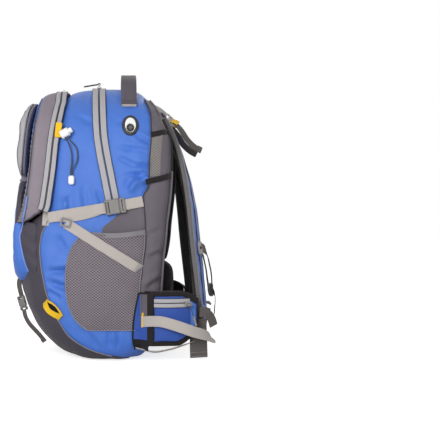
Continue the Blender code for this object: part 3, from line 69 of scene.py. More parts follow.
# ---------------------------------------------------------------- sizes
DY = -0.0060                 # drawing frame to the frame's origin
SIDES = {"r": 1, "l": -1}
WEB, WEB_THICK = 0.020, 0.0016
HIP_WEB, MAT_WEB, STERNUM_WEB = 0.0335, 0.015, 0.018
CORD = 0.0024
MAIN_ZIP, ORGANIZER_ZIP, HANDLE_WIDE = 0.0255, 0.0205, 0.0295
TOOTH_PITCH = 0.0017
SOCKET_LONG, CLIP_STEP, UNDER_BAR = 1.35, 0.0010, 0.0030

# Main bag: height, back, front, half width, front corner exponent.
MAIN = [
    (0.000, 0.046, -0.066, 0.100, 2.6), (0.005, 0.056, -0.086, 0.122, 2.6), (0.014, 0.064, -0.107, 0.138, 2.6),
    (0.030, 0.071, -0.128, 0.148, 2.7), (0.050, 0.077, -0.146, 0.154, 2.8), (0.080, 0.084, -0.163, 0.157, 3.0),
    (0.115, 0.088, -0.178, 0.159, 3.0), (0.150, 0.090, -0.187, 0.160, 3.0), (0.190, 0.093, -0.190, 0.160, 3.0),
    (0.235, 0.098, -0.188, 0.160, 3.2), (0.262, 0.100, -0.172, 0.159, 4.0), (0.288, 0.103, -0.134, 0.158, 7.0),
    (0.325, 0.107, -0.127, 0.156, 9.0), (0.371, 0.109, -0.121, 0.153, 9.0), (0.411, 0.108, -0.117, 0.150, 9.0),
    (0.440, 0.100, -0.113, 0.144, 8.0), (0.465, 0.089, -0.109, 0.132, 7.0), (0.488, 0.076, -0.105, 0.114, 6.0),
    (0.503, 0.068, -0.100, 0.097, 5.0), (0.514, 0.060, -0.093, 0.080, 4.0), (0.522, 0.049, -0.083, 0.063, 3.2),
    (0.528, 0.034, -0.066, 0.043, 2.6), (0.5315, 0.012, -0.040, 0.022, 2.2),
]
# Organizer bag in front of it: height, front, how much narrower than the main bag.
ORGANIZER = [
    (0.264, -0.1885, 0.012), (0.275, -0.1880, 0.007), (0.288, -0.1852, 0.004), (0.325, -0.1770, 0.003),
    (0.371, -0.1710, 0.003), (0.411, -0.1675, 0.003), (0.440, -0.1645, 0.003), (0.465, -0.1610, 0.003),
    (0.488, -0.1560, 0.003), (0.503, -0.1500, 0.003), (0.514, -0.1410, 0.003), (0.5185, -0.1320, 0.006),
]
# Front pocket: height, front, half width.
POCKET = [
    (0.352, -0.1840, 0.076), (0.362, -0.1870, 0.092), (0.380, -0.1895, 0.103), (0.411, -0.1890, 0.107),
    (0.440, -0.1865, 0.104), (0.465, -0.1825, 0.096), (0.488, -0.1745, 0.076), (0.498, -0.1670, 0.056),
]
LOWER_WIDE = [(0.1485, 0.085), (0.156, 0.105), (0.172, 0.120), (0.200, 0.128), (0.240, 0.131), (0.282, 0.128),
              (0.312, 0.122), (0.335, 0.108), (0.347, 0.090)]
LOWER_FRONT = [(0.1485, -0.188), (0.158, -0.1935), (0.165, -0.1965), (0.184, -0.1985), (0.241, -0.1985),
               (0.281, -0.1950), (0.312, -0.1910), (0.335, -0.1880), (0.347, -0.1850)]
LOWER_PIPING = [(0.1485, -0.166), (0.160, -0.1634), (0.1825, -0.1700), (0.209, -0.1767), (0.2376, -0.1805),
                (0.251, -0.1790), (0.263, -0.1775), (0.300, -0.1795), (0.347, -0.1745)]
PIPING_LINE = [(0.150, -0.166), (0.160, -0.1634), (0.1825, -0.1700), (0.209, -0.1767), (0.2376, -0.1805),
               (0.251, -0.1767), (0.308, -0.1653), (0.320, -0.1640)]
# Lines on the side, as (height, y): rear seam, main zipper, edge and front of the dark gusset.
SEAM = [(0.030, 0.037), (0.065, 0.046), (0.138, 0.047), (0.178, 0.051), (0.235, 0.057), (0.284, 0.055),
        (0.312, 0.053), (0.330, 0.062), (0.387, 0.065), (0.430, 0.068), (0.465, 0.068), (0.503, 0.058)]
ZIP_LINE = [(0.300, -0.004), (0.356, -0.015), (0.392, -0.022), (0.430, -0.0275), (0.473, -0.030), (0.540, -0.032)]
GUSSET_EDGE = [(0.000, 0.030), (0.008, 0.010), (0.018, -0.030), (0.030, -0.058), (0.052, -0.088), (0.080, -0.106),
               (0.103, -0.118), (0.127, -0.1275), (0.155, -0.134), (0.184, -0.1390), (0.211, -0.1410),
               (0.239, -0.1375), (0.263, -0.1270)]
GUSSET_FRONT = [(0.150, -0.150), (0.1625, -0.144), (0.185, -0.150), (0.211, -0.157), (0.238, -0.160),
                (0.263, -0.158)]
GUSSET_LIGHT = [(0.264, -0.174), (0.288, -0.170), (0.370, -0.160), (0.440, -0.1535), (0.510, -0.143)]
MESH_LOW, MESH_HIGH, MESH_MID, MESH_HALF_HEIGHT, MESH_BULGE = 0.062, 0.250, 0.156, 0.099, 0.015

CREASE_GAIN = 3.2
# Creases seen on the side panels: start (y, z), end (y, z), height, half width.
CREASES = [
    ((0.004, 0.4515), (0.027, 0.467), 0.0007, 0.006), ((0.010, 0.408), (0.066, 0.400), 0.0013, 0.006),
    ((0.010, 0.388), (0.037, 0.374), 0.0012, 0.006), ((0.037, 0.374), (0.066, 0.373), 0.0013, 0.005),
    ((0.040, 0.431), (0.068, 0.414), 0.0016, 0.005), ((0.020, 0.355), (0.064, 0.360), 0.0010, 0.005),
    ((0.024, 0.324), (0.034, 0.341), -0.0028, 0.008), ((0.034, 0.341), (0.060, 0.349), -0.0026, 0.008),
    ((0.044, 0.356), (0.066, 0.333), 0.0018, 0.006),
    ((-0.124, 0.175), (-0.078, 0.180), 0.0022, 0.007), ((-0.122, 0.155), (-0.074, 0.141), 0.0024, 0.008),
    ((-0.125, 0.137), (-0.102, 0.124), 0.0016, 0.006), ((-0.072, 0.098), (-0.040, 0.073), 0.0014, 0.007),
    ((-0.008, 0.060), (-0.007, 0.030), 0.0014, 0.006), ((0.006, 0.060), (0.008, 0.028), 0.0012, 0.005),
    ((-0.060, 0.070), (-0.030, 0.034), 0.0011, 0.007), ((-0.104, 0.238), (-0.090, 0.212), 0.0014, 0.008),
    ((-0.090, 0.316), (-0.089, 0.284), -0.0016, 0.005), ((-0.074, 0.320), (-0.070, 0.286), 0.0010, 0.005),
    ((-0.056, 0.330), (-0.050, 0.290), 0.0010, 0.006), ((-0.030, 0.325), (-0.020, 0.296), 0.0013, 0.005),
    ((-0.070, 0.470), (-0.040, 0.455), 0.0008, 0.008), ((0.062, 0.200), (0.090, 0.212), 0.0016, 0.007),
    ((0.056, 0.142), (0.088, 0.163), 0.0018, 0.008), ((0.060, 0.245), (0.084, 0.252), 0.0010, 0.007),
]


# ---------------------------------------------------------------- numbers and forms
def unit(v):
    v = np.asarray(v, float)
    return v / np.maximum(np.linalg.norm(v, axis=-1, keepdims=True), 1e-12)


def xyz(x, y, z):
    """Points from three numbers or arrays of shapes that go together."""
    return np.stack(np.broadcast_arrays(x, y, z), -1)


def circle(count):
    """Angles evenly spaced round one turn."""
    return np.linspace(0, 2 * math.pi, count, endpoint=False)


def eased(x, y, at):
    """A curve through the points that never overshoots them."""
    x, y, at = np.asarray(x, float), np.asarray(y, float), np.asarray(at, float)
    h, d = np.diff(x), np.diff(y) / np.diff(x)
    m = np.concatenate([[d[0]], np.zeros(len(d) - 1), [d[-1]]])
    for i in range(1, len(x) - 1):
        if d[i - 1] * d[i] > 0:
            a, b = 2 * h[i] + h[i - 1], h[i] + 2 * h[i - 1]
            m[i] = (a + b) / (a / d[i - 1] + b / d[i])
    k = np.clip(np.searchsorted(x, at) - 1, 0, len(x) - 2)
    t = np.clip((at - x[k]) / h[k], 0, 1)
    return ((2 * t**3 - 3 * t**2 + 1) * y[k] + (t**3 - 2 * t**2 + t) * h[k] * m[k]
            + (3 * t**2 - 2 * t**3) * y[k + 1] + (t**3 - t**2) * h[k] * m[k + 1])


def line_of(table):
    """A smooth function of height from a table of (height, y)."""
    z, y = zip(*table)
    return lambda at: eased(z, y, at)


def smooth_step(low, high, x):
    """Rises smoothly from 0 to 1 between two values."""
    t = np.clip((np.asarray(x, float) - low) / (high - low), 0, 1)
    return t * t * (3 - 2 * t)


class Form:
    """A bag's outer form: at each height a rounded rectangle, read smoothly between its rows."""

    def __init__(self, rows, back_corner=8.0, ends=True):
        fine = np.linspace(0, len(rows) - 1, 24 * (len(rows) - 1) + 1)
        index = np.arange(len(rows))
        self.z, self.back, self.front, self.half, self.corner = (eased(index, c, fine) for c in zip(*rows))
        self.back_corner, self.ends = back_corner, ends

    def read(self, z):
        values = [np.interp(z, self.z, c) for c in (self.back, self.front, self.half, self.corner)]
        rear = np.full_like(np.asarray(z, float), self.back_corner)
        if self.ends:
            rear = 4 + (rear - 4) * smooth_step(0.012, 0.045, z) * (1 - smooth_step(0.485, 0.515, z))
        return (*values, rear)

    def at(self, z, phi, lift=0.0):
        """Point at a height and an angle round the form, where 0 is the right side and a quarter turn the back."""
        back, front, half, corner, rear = self.read(z)
        c, s = np.cos(phi), np.sin(phi)
        p = np.where(s > 0, rear, corner)
        r = (np.abs(c)**p + np.abs(s)**p)**(-1 / p)
        middle, depth = (back + front) / 2, (back - front) / 2
        return xyz((half + lift) * r * c, middle + (depth + lift) * r * s, z)

    def angle(self, y, z):
        """Angle round the form, on the right side, of a depth."""
        back, front, half, corner, rear = self.read(z)
        s = np.clip((y - (back + front) / 2) / ((back - front) / 2), -1, 1)
        p = np.where(s > 0, rear, corner)
        return np.arctan2(s, (1 - np.abs(s)**p)**(1 / p))

    def side(self, y, z):
        """Half width at a depth and a height."""
        back, front, half, corner, rear = self.read(z)
        s = np.clip(np.abs((y - (back + front) / 2) / ((back - front) / 2)), 0, 1)
        p = np.where(y > (back + front) / 2, rear, corner)
        return half * (1 - s**p)**(1 / p)

    def back_at(self, x, z):
        """Depth of the back surface at a place across and a height."""
        back, front, half, corner, rear = self.read(z)
        share = np.clip(np.abs(x / half), 0, 1)
        return (back + front) / 2 + (back - front) / 2 * (1 - share**rear)**(1 / rear)

    def front_at(self, x, z):
        """Depth of the front surface at a place across and a height."""
        back, front, half, corner, rear = self.read(z)
        share = np.clip(np.abs(x / half), 0, 1)
        return (back + front) / 2 - (back - front) / 2 * (1 - share**corner)**(1 / corner)


main = Form(MAIN)
organizer = Form([(z, float(np.interp(z, main.z, main.front)) - 0.0004, f, float(np.interp(z, main.z, main.half)) - n,
                   3.0) for z, f, n in ORGANIZER], 9.0, ends=False)
pocket = Form([(z, float(np.interp(z, organizer.z, organizer.front)) - 0.0004, f, h, 3.6) for z, f, h in POCKET],
              7.0, ends=False)
seam, zip_line = line_of(SEAM), line_of(ZIP_LINE)
lower_wide, lower_front = line_of(LOWER_WIDE), line_of(LOWER_FRONT)
lower_piping, piping_line = line_of(LOWER_PIPING), line_of(PIPING_LINE)
gusset_edge, gusset_front, gusset_light = line_of(GUSSET_EDGE), line_of(GUSSET_FRONT), line_of(GUSSET_LIGHT)


def swell(points, size, seed, waves=7):
    """Smooth, repeatable unevenness between about -1 and 1, over a distance."""
    draw = np.random.default_rng(seed)
    total = np.zeros(points.shape[:-1])
    for _ in range(waves):
        way = unit(draw.normal(size=3)) * 2 * math.pi / (size * draw.uniform(0.7, 1.5))
        total += np.sin(points @ way + draw.uniform(0, 6.28))
    return total / math.sqrt(waves)


def crease(y, z, start, end, width):
    """How strongly a fold between two points shows: a ridge with a hollow beside it, fading at its ends."""
    a, b = np.array(start), np.array(end)
    run = b - a
    length = np.linalg.norm(run)
    run = run / length
    dy, dz = y - a[0], z - a[1]
    along = (dy * run[0] + dz * run[1]) / length
    off = (dz * run[0] - dy * run[1]) / width
    fade = smooth_step(-0.25, 0.3, along) * (1 - smooth_step(0.7, 1.25, along))
    return (off * np.exp(0.5 - off**2) * 0.9 - 0.5 * np.exp(-off**2)) * fade


def folds(points):
    """Height of the fabric over its form, for points of the main bag."""
    x, y, z = points[..., 0], points[..., 1], points[..., 2]
    height = 0.0007 * swell(points, 0.075, 3) + 0.0003 * swell(points, 0.024, 5) - 0.0006
    flank = smooth_step(0.04, 0.10, np.abs(x))
    for start, end, rise, width in CREASES:
        height = height + CREASE_GAIN * flank * rise * crease(y, z, start, end, width)
    off = np.abs(y - zip_line(z))
    pucker = np.exp(-off / 0.016) * smooth_step(0.30, 0.32, z)
    height = height - 0.0016 * np.exp(-(off / 0.014)**2) * smooth_step(0.30, 0.32, z) * flank
    height = height + 0.0005 * pucker * np.sin(z * 2 * math.pi / 0.021 + 2.2 * np.sin(z * 71)) * flank
    off = np.abs(y - seam(z))
    height = height - 0.0018 * np.exp(-(off / 0.010)**2) * flank
    height = height + 0.0005 * np.exp(-off / 0.012) * np.sin(z * 2 * math.pi / 0.017 + 1.7 * np.sin(z * 93)) * flank
    crown = smooth_step(0.500, 0.525, z)
    return height * (1 - 0.7 * crown)


# ---------------------------------------------------------------- materials
def node(tree, kind, settings=None, **inputs):
    made = tree.nodes.new(kind)
    for key, value in (settings or {}).items():
        setattr(made, key, value)
    for key, value in inputs.items():
        numbered = key[0] == "i" and key[1:].isdigit()
        socket = made.inputs[int(key[1:]) if numbered else key.replace("_", " ")]
        if isinstance(value, bpy.types.NodeSocket):
            tree.links.new(value, socket)
        else:
            socket.default_value = value
    return made


def maths(tree, operation, *values, clamp=False):
    made = node(tree, "ShaderNodeMath", {"operation": operation, "use_clamp": clamp},
                **{f"i{i}": v for i, v in enumerate(values)})
    return made.outputs[0]


def linear(colour):
    """sRGB bytes to the shader's own scale."""
    return tuple(c / 255 / 12.92 if c / 255 <= 0.04045 else ((c / 255 + 0.055) / 1.055)**2.4 for c in colour)


def finish(name, colour, rough=0.6, sheen=0.0, pattern=None, pitch=0.0012, bump=0.4, dark=0.75, patchy=0.10,
           metal=0.0, specular=0.5, patch_size=22.0, wear=0.0):
    """A procedural finish. The pattern is read in metres from the piece's own map."""
    made = bpy.data.materials.new(name)
    made.use_nodes = True
    tree = made.node_tree
    shader = tree.nodes["Principled BSDF"]
    place = node(tree, "ShaderNodeTexCoord")
    cloud = node(tree, "ShaderNodeTexNoise", Vector=place.outputs["Object"], Scale=patch_size, Detail=4.0,
                 Roughness=0.6)
    shade = maths(tree, "MULTIPLY_ADD", cloud.outputs["Fac"], 2 * patchy, 1 - patchy)
    height = cloud.outputs["Fac"]
    size = 1 / (pitch or 0.001)
    if pattern:
        flat = node(tree, "ShaderNodeUVMap", {"uv_map": "cloth"})
        part = node(tree, "ShaderNodeSeparateXYZ", Vector=flat.outputs["UV"])
        u, v = (maths(tree, "MULTIPLY", part.outputs[i], 2 * math.pi * size) for i in (0, 1))
        if pattern == "weave":
            over = maths(tree, "MULTIPLY", maths(tree, "SINE", u), maths(tree, "SINE", v))
            height = maths(tree, "MULTIPLY_ADD", over, 0.5, 0.5)
        elif pattern == "web":
            across = maths(tree, "PINGPONG", maths(tree, "MULTIPLY", part.outputs[0], size * 0.5), 1.0)
            slant = maths(tree, "MULTIPLY_ADD", across, 2.6, v)
            rib = maths(tree, "ABSOLUTE", maths(tree, "SINE", maths(tree, "MULTIPLY", slant, 0.5)))
            height = maths(tree, "MULTIPLY", rib, maths(tree, "MULTIPLY_ADD", maths(tree, "COSINE", u), 0.15, 0.85))
        elif pattern == "rib":
            height = maths(tree, "MULTIPLY_ADD", maths(tree, "SINE", v), 0.5, 0.5)
        elif pattern == "mesh":
            turned = node(tree, "ShaderNodeMapping", Vector=flat.outputs["UV"], Rotation=(0, 0, math.radians(45)),
                          Scale=(size, size * 1.25, size))
            hole = node(tree, "ShaderNodeTexVoronoi", {"voronoi_dimensions": "2D"}, Vector=turned.outputs[0],
                        Scale=1.0, Randomness=0.0)
            height = maths(tree, "MULTIPLY_ADD", hole.outputs["Distance"], 3.4, -0.75, clamp=True)
        shade = maths(tree, "MULTIPLY", shade, maths(tree, "MULTIPLY_ADD", height, 1 - dark, dark))
        height = maths(tree, "MULTIPLY_ADD", cloud.outputs["Fac"], 0.25, height)
    if wear:
        rub = node(tree, "ShaderNodeTexNoise", Vector=place.outputs["Object"], Scale=160.0, Detail=6.0)
        rubbed = maths(tree, "MULTIPLY", maths(tree, "GREATER_THAN", rub.outputs["Fac"], 0.62), wear)
        shade = maths(tree, "ADD", shade, rubbed)
    tint = node(tree, "ShaderNodeMix", {"data_type": "RGBA", "blend_type": "MULTIPLY"}, i0=1.0,
                i6=(*linear(colour), 1.0), i7=node(tree, "ShaderNodeCombineColor", i0=shade, i1=shade,
                                                   i2=shade).outputs[0])
    tree.links.new(tint.outputs[2], shader.inputs["Base Color"])
    relief = node(tree, "ShaderNodeBump", Height=height, Strength=bump, Distance=0.0004)
    tree.links.new(relief.outputs[0], shader.inputs["Normal"])
    shader.inputs["Roughness"].default_value = rough
    shader.inputs["Metallic"].default_value = metal
    shader.inputs["Specular IOR Level"].default_value = specular
    shader.inputs["Sheen Weight"].default_value = sheen
    shader.inputs["Sheen Roughness"].default_value = 0.4
    return made


M = {
    "blue": finish("blue_cloth", (72, 119, 208), 0.44, 0.10, "weave", 0.0011, 0.35, 0.86, 0.07, specular=0.35),
    "blue_dark": finish("blue_cloth_back", (50, 84, 168), 0.6, 0.1, "weave", 0.0011, 0.35, 0.86, 0.08, specular=0.3),
    "gusset": finish("grey_gusset_cloth", (142, 132, 142), 0.62, 0.1, "weave", 0.0012, 0.4, 0.82, 0.09, specular=0.3),
    "pleat": finish("dark_pleat_cloth", (136, 128, 137), 0.65, 0.1, "weave", 0.0012, 0.4, 0.8, 0.10, specular=0.3),
    "grey": finish("grey_panel_cloth", (104, 97, 106), 0.62, 0.1, "weave", 0.0012, 0.4, 0.82, 0.08, specular=0.3),
    "dark": finish("dark_gusset_cloth", (72, 67, 77), 0.62, 0.1, "weave", 0.0012, 0.4, 0.82, 0.10, specular=0.3),
    "mesh": finish("pocket_mesh", (142, 133, 141), 0.8, 0.0, "mesh", 0.0045, 0.9, 0.24, 0.05, specular=0.2),
    "patch": finish("back_mesh", (150, 145, 142), 0.8, 0.0, "mesh", 0.0046, 0.9, 0.22, 0.05, specular=0.2),
    "spacer": finish("strap_mesh", (128, 125, 124), 0.85, 0.0, "mesh", 0.0040, 0.9, 0.40, 0.06, specular=0.2),
    "foam": finish("black_mesh", (34, 30, 31), 0.9, 0.1, "mesh", 0.0028, 0.9, 0.35, 0.10, specular=0.2),
    "binding": finish("black_binding", (26, 22, 23), 0.75, 0.1, "rib", 0.0009, 0.5, 0.7, 0.06, specular=0.3),
    "piping": finish("grey_binding", (138, 134, 140), 0.7, 0.1, "rib", 0.0009, 0.5, 0.75, 0.06, specular=0.3),
    # Lighter blue for the tube on the lower pocket's fold edge: piping, with its lighter tone a painted highlight.
    "bluepipe_highlight": finish("blue_piping_painted_highlight", (122, 156, 232), 0.6, 0.1, "rib", 0.0009, 0.4, 0.8, 0.05, specular=0.3),
    "web": finish("grey_webbing_cloth", (198, 190, 184), 0.75, 0.1, "web", 0.0019, 0.9, 0.62, 0.06, specular=0.3),
    "darkweb": finish("dark_webbing_cloth", (98, 92, 90), 0.75, 0.1, "web", 0.0019, 0.9, 0.62, 0.08, specular=0.3),
    "yellow": finish("yellow_webbing_cloth", (255, 205, 40), 0.7, 0.1, "web", 0.0014, 0.8, 0.70, 0.08, specular=0.3),
    "tape": finish("zipper_tape_cloth", (186, 184, 188), 0.7, 0.1, "rib", 0.0010, 0.6, 0.74, 0.05, specular=0.3),
    "coil": finish("zipper_coil", (74, 73, 79), 0.45, 0.0, None, 0, 0.2, patchy=0.10),
    "thread": finish("thread", (196, 192, 188), 0.7, 0.0, None, 0, 0.3, patchy=0.15),
    "darkthread": finish("dark_thread", (52, 50, 56), 0.7, 0.0, None, 0, 0.3, patchy=0.15),
    "handle": finish("handle_cloth", (86, 79, 88), 0.6, 0.1, "web", 0.0019, 0.8, 0.68, 0.08, specular=0.35),
    "plastic": finish("grey_moulding", (122, 118, 116), 0.38, 0.0, None, 0, 0.15, patchy=0.08, patch_size=60.0,
                      wear=0.10),
    # Paler copy of the grey moulding, used for the strap locks: painted highlight.
    "pale": finish("grey_moulding_painted_highlight", (170, 168, 166), 0.36, 0.0, None, 0, 0.15, patchy=0.06, patch_size=60.0),
    "black": finish("black_moulding", (28, 28, 30), 0.5, 0.0, None, 0, 0.2, patchy=0.10, patch_size=60.0),
    "white": finish("white_moulding", (236, 236, 236), 0.35, 0.0, None, 0, 0.1, patchy=0.03, patch_size=60.0),
    "metal": finish("dull_metal", (150, 148, 148), 0.34, 0.0, None, 0, 0.1, patchy=0.12, metal=0.9, patch_size=90.0),
    "cord": finish("braided_cord", (58, 62, 62), 0.7, 0.1, None, 0, 0.6, patchy=0.25, patch_size=900.0),
}


# ---------------------------------------------------------------- mesh makers
def world(point):
    return Vector((float(point[0]), float(point[1]) + DY, float(point[2])))


def added(name, data):
    obj = bpy.data.objects.new(name, data)
    bpy.context.scene.collection.objects.link(obj)
    return obj


def run_of(points):
    """Distance along a line at each of its points."""
    return np.concatenate([[0], np.linalg.norm(np.diff(points, axis=0), axis=1).cumsum()])


def grid_runs(grid):
    """Distance along each row and up each column of a grid."""
    u = np.concatenate([np.zeros((len(grid), 1)), np.linalg.norm(np.diff(grid, axis=1), axis=-1).cumsum(1)], 1)
    v = np.concatenate([np.zeros((1, grid.shape[1])), np.linalg.norm(np.diff(grid, axis=0), axis=-1).cumsum(0)], 0)
    return u, v


def make(name, points, faces, finishes, body="pack", map_points=None, face_finish=None, angle=50):
    """A piece from drawing-frame points. map_points gives each point its place on the cloth, in metres."""
    mesh = bpy.data.meshes.new(name)
    moved = np.array(points, float).reshape(-1, 3) + (0, DY, 0)
    mesh.from_pydata(moved.tolist(), [], [tuple(int(i) for i in f) for f in faces])
    finishes = [finishes] if isinstance(finishes, str) else finishes
    for key in finishes:
        mesh.materials.append(M[key])
    if face_finish is not None:
        mesh.polygons.foreach_set("material_index", np.array(face_finish, np.int32))
    if map_points is not None:
        layer = mesh.uv_layers.new(name="cloth")
        index = np.zeros(len(mesh.loops), np.int32)
        mesh.loops.foreach_get("vertex_index", index)
        layer.data.foreach_set("uv", np.array(map_points, float).reshape(-1, 2)[index].ravel())
    mesh.shade_smooth()
    mesh.set_sharp_from_angle(angle=math.radians(angle))
    obj = added(name, mesh)
    if body:
        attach(obj, body)
    return obj


def grid_normals(grid, outward=None):
    across, up = np.gradient(grid, axis=1), np.gradient(grid, axis=0)
    normal = unit(np.cross(across, up))
    if outward is not None and (normal * outward).sum() < 0:
        normal = -normal
    return normal


def grid_faces(rows, columns, wrap=False, start=0):
    faces = []
    for i in range(rows - 1):
        for j in range(columns if wrap else columns - 1):
            k = (j + 1) % columns
            faces.append((start + i * columns + j, start + i * columns + k, start + (i + 1) * columns + k,
                          start + (i + 1) * columns + j))
    return faces


def turned_out(obj):
    """Turns all faces of a closed piece outwards."""
    edit = bmesh.new()
    edit.from_mesh(obj.data)
    bmesh.ops.recalc_face_normals(edit, faces=edit.faces)
    edit.to_mesh(obj.data)
    edit.free()
    return obj


def cloth(name, grid, finishes, thickness=0.0012, body="pack", face_finish=None, outward=None, stretch=None):
    """A sewn panel over a grid of points, with its thickness below the grid."""
    rows, columns = grid.shape[:2]
    under = grid - grid_normals(grid, outward) * thickness
    count = rows * columns
    faces = grid_faces(rows, columns)
    rear = [(f[3] + count, f[2] + count, f[1] + count, f[0] + count) for f in faces]
    rim = ([*range(columns)] + [i * columns + columns - 1 for i in range(1, rows)]
           + [(rows - 1) * columns + j for j in range(columns - 2, -1, -1)]
           + [i * columns for i in range(rows - 2, 0, -1)])
    sides = [(b, a, a + count, b + count) for a, b in zip(rim, rim[1:] + rim[:1])]
    u, v = grid_runs(grid)
    flat = np.stack([u - u[:, -1:] / 2, v], -1) if stretch is None else stretch
    flats = np.concatenate([flat.reshape(-1, 2)] * 2)
    kinds = None
    if face_finish is not None:
        front = np.array(face_finish, int).reshape(-1)
        kinds = np.concatenate([front, front, np.zeros(len(sides), int)])
    points = np.concatenate([grid.reshape(-1, 3), under.reshape(-1, 3)])
    return turned_out(make(name, points, faces + rear + sides, finishes, body, flats, kinds))


def skin(name, rings, finishes, body="pack", face_finish=None):
    """A closed form over rings of points, closed to a point at the middle of each end."""
    rings = np.asarray(rings, float)
    rows, columns = rings.shape[:2]
    faces = grid_faces(rows, columns, wrap=True)
    points = rings.reshape(-1, 3)
    flat = np.stack(grid_runs(rings), -1).reshape(-1, 2)
    kinds = None if face_finish is None else list(np.array(face_finish, int).reshape(-1))
    for ring in (0, rows - 1):
        middle = len(points)
        points = np.concatenate([points, rings[ring].mean(0)[None]])
        flat = np.concatenate([flat, flat[ring * columns][None]])
        for j in range(columns):
            face = (ring * columns + j, ring * columns + (j + 1) % columns, middle)
            faces.append(face if ring else face[::-1])
            if kinds is not None:
                kinds.append(kinds[(rows - 2) * columns] if ring else kinds[0])
    return turned_out(make(name, points, faces, finishes, body, flat, kinds))


def smooth_line(knots, count):
    """Evenly spaced points on one smooth curve through the knots."""
    knots = np.array([list(k) for k in knots], float)
    spans = np.linalg.norm(np.diff(knots, axis=0), axis=1)
    slopes = np.diff(knots, axis=0) / spans[:, None]
    bends = [slopes[0]]
    for i in range(1, len(slopes)):
        bends.append((slopes[i] * spans[i - 1] + slopes[i - 1] * spans[i]) / (spans[i - 1] + spans[i]))
    bends.append(slopes[-1])
    fine = []
    for i, span in enumerate(spans):
        for t in np.linspace(0, 1, 24, endpoint=False):
            fine.append((2 * t**3 - 3 * t**2 + 1) * knots[i] + (t**3 - 2 * t**2 + t) * span * bends[i]
                        + (3 * t**2 - 2 * t**3) * knots[i + 1] + (t**3 - t**2) * span * bends[i + 1])
    fine = np.array(fine + [knots[-1]])
    run = run_of(fine)
    at = np.linspace(0, run[-1], count)
    return np.stack([np.interp(at, run, fine[:, i]) for i in range(3)], 1)


def frames_of(points, normals):
    """(unit run, unit across, unit normal) along a line."""
    points = np.asarray(points, float)
    run = unit(np.gradient(points, axis=0))
    normals = np.broadcast_to(np.asarray(normals, float), points.shape)
    up = unit(normals - run * (normals * run).sum(1, keepdims=True))
    return run, np.cross(run, up), up


def ribbon(name, points, normals, width, finishes="web", thick=WEB_THICK, body="pack", seed=0, wave=0.0003,
           widths=None):
    """Webbing: a band with rounded edges that lies on the line with its underside."""
    points = np.asarray(points, float)
    run, across, up = frames_of(points, normals)
    profile = [(-0.5, 0.5), (-0.485, 0.86), (-0.45, 1.0), (-0.25, 1.0), (0, 1.0), (0.25, 1.0), (0.45, 1.0),
               (0.485, 0.86), (0.5, 0.5), (0.485, 0.14), (0.45, 0), (0, 0), (-0.45, 0), (-0.485, 0.14)]
    along = run_of(points)
    ripple = wave * np.sin(along * 2 * math.pi / 0.047 + seed * 1.7) * np.sin(along * 2 * math.pi / 0.113 + seed)
    wide = np.full(len(points), width) if widths is None else np.asarray(widths)
    rings, flat = [], []
    for a, b in profile:
        rings.append(points + across * (a * wide)[:, None] + up * (b * thick + ripple)[:, None])
        flat.append(np.stack([a * wide + (0.003 if b < 0.5 else 0), along], 1))
    rings, flat = np.stack(rings, 1), np.stack(flat, 1)
    columns = len(profile)
    faces = grid_faces(len(points), columns, wrap=True)
    faces += [tuple(range(columns))[::-1], tuple((len(points) - 1) * columns + j for j in range(columns))]
    return turned_out(make(name, rings, faces, finishes, body, flat, angle=35))


def drawn(name, lines, finishes, cyclic):
    """A curve object over lines of points."""
    curve = bpy.data.curves.new(name, "CURVE")
    for line in lines:
        spline = curve.splines.new("POLY")
        spline.points.add(len(line) - 1)
        for knot, point in zip(spline.points, line):
            knot.co = (*point, 1)
        spline.use_cyclic_u = cyclic
    curve.materials.append(M[finishes])
    obj = added(name, curve)
    return obj, curve


def tube(name, points, radius, finishes="binding", body="pack", cyclic=False, sides=2):
    """Piping or cord on a line of drawing-frame points."""
    obj, curve = drawn(name, [[world(p) for p in points]], finishes, cyclic)
    curve.dimensions = "3D"
    curve.bevel_depth, curve.bevel_resolution, curve.use_fill_caps = radius, sides, True
    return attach(obj, body)


def beads(name, points, normals, pitch, size, finishes="thread", body="pack", lift=0.0, skip=0.0):
    """A row of small rounded blocks along a line: stitches or zipper teeth. size is (along, across, up)."""
    points = np.asarray(points, float)
    run, across, up = frames_of(points, normals)
    along = run_of(points)
    at = np.arange(skip + pitch / 2, along[-1] - skip, pitch)

    def read(values):
        return np.stack([np.interp(at, along, values[:, i]) for i in range(3)], 1)

    centre, run, across, up = read(points), unit(read(run)), unit(read(across)), unit(read(up))
    shape = [(-0.5, 0, 0)] + [(x, 0.5 * s * math.cos(t), 0.5 * s * math.sin(t)) for x, s in ((-0.32, 0.8), (0.32, 0.8))
                              for t in (0.0, 1.257, 2.513, 3.770, 5.027)] + [(0.5, 0, 0)]
    faces = [(0, 1 + (j + 1) % 5, 1 + j) for j in range(5)]
    faces += [(1 + j, 1 + (j + 1) % 5, 6 + (j + 1) % 5, 6 + j) for j in range(5)]
    faces += [(11, 6 + j, 6 + (j + 1) % 5) for j in range(5)]
    every, all_points = [], []
    for i in range(len(at)):
        for a, b, c in shape:
            all_points.append(centre[i] + run[i] * a * size[0] + across[i] * b * size[1]
                              + up[i] * (c * size[2] + lift))
        every += [tuple(k + 12 * i for k in f) for f in faces]
    return make(name, all_points, every, finishes, body)


def offset(points, normals, across=0.0, up=0.0):
    """A line moved sideways and up from another."""
    run, side, rise = frames_of(points, normals)
    return np.asarray(points) + side * across + rise * up


def plate(name, outlines, thickness, finishes, bevel=0.0004, body="pack", seat=None):
    """A moulded plate with rounded edges from flat outlines, stood at a seat matrix."""
    obj, curve = drawn(name, [[(x, y, 0) for x, y in outline] for outline in outlines], finishes, True)
    curve.dimensions, curve.fill_mode = "2D", "BOTH"
    curve.extrude, curve.bevel_depth, curve.bevel_resolution = thickness / 2 - bevel, bevel, 1
    curve.offset = -bevel
    obj.matrix_world = seat
    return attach(obj, body)


def seat_at(point, along, up):
    """Matrix whose local X runs along the first direction and local Z up the second."""
    x = Vector(along).normalized()
    z = Vector(up)
    z = (z - x * z.dot(x)).normalized()
    return Matrix.Translation(world(point)) @ Matrix((x, z.cross(x), z)).transposed().to_4x4()


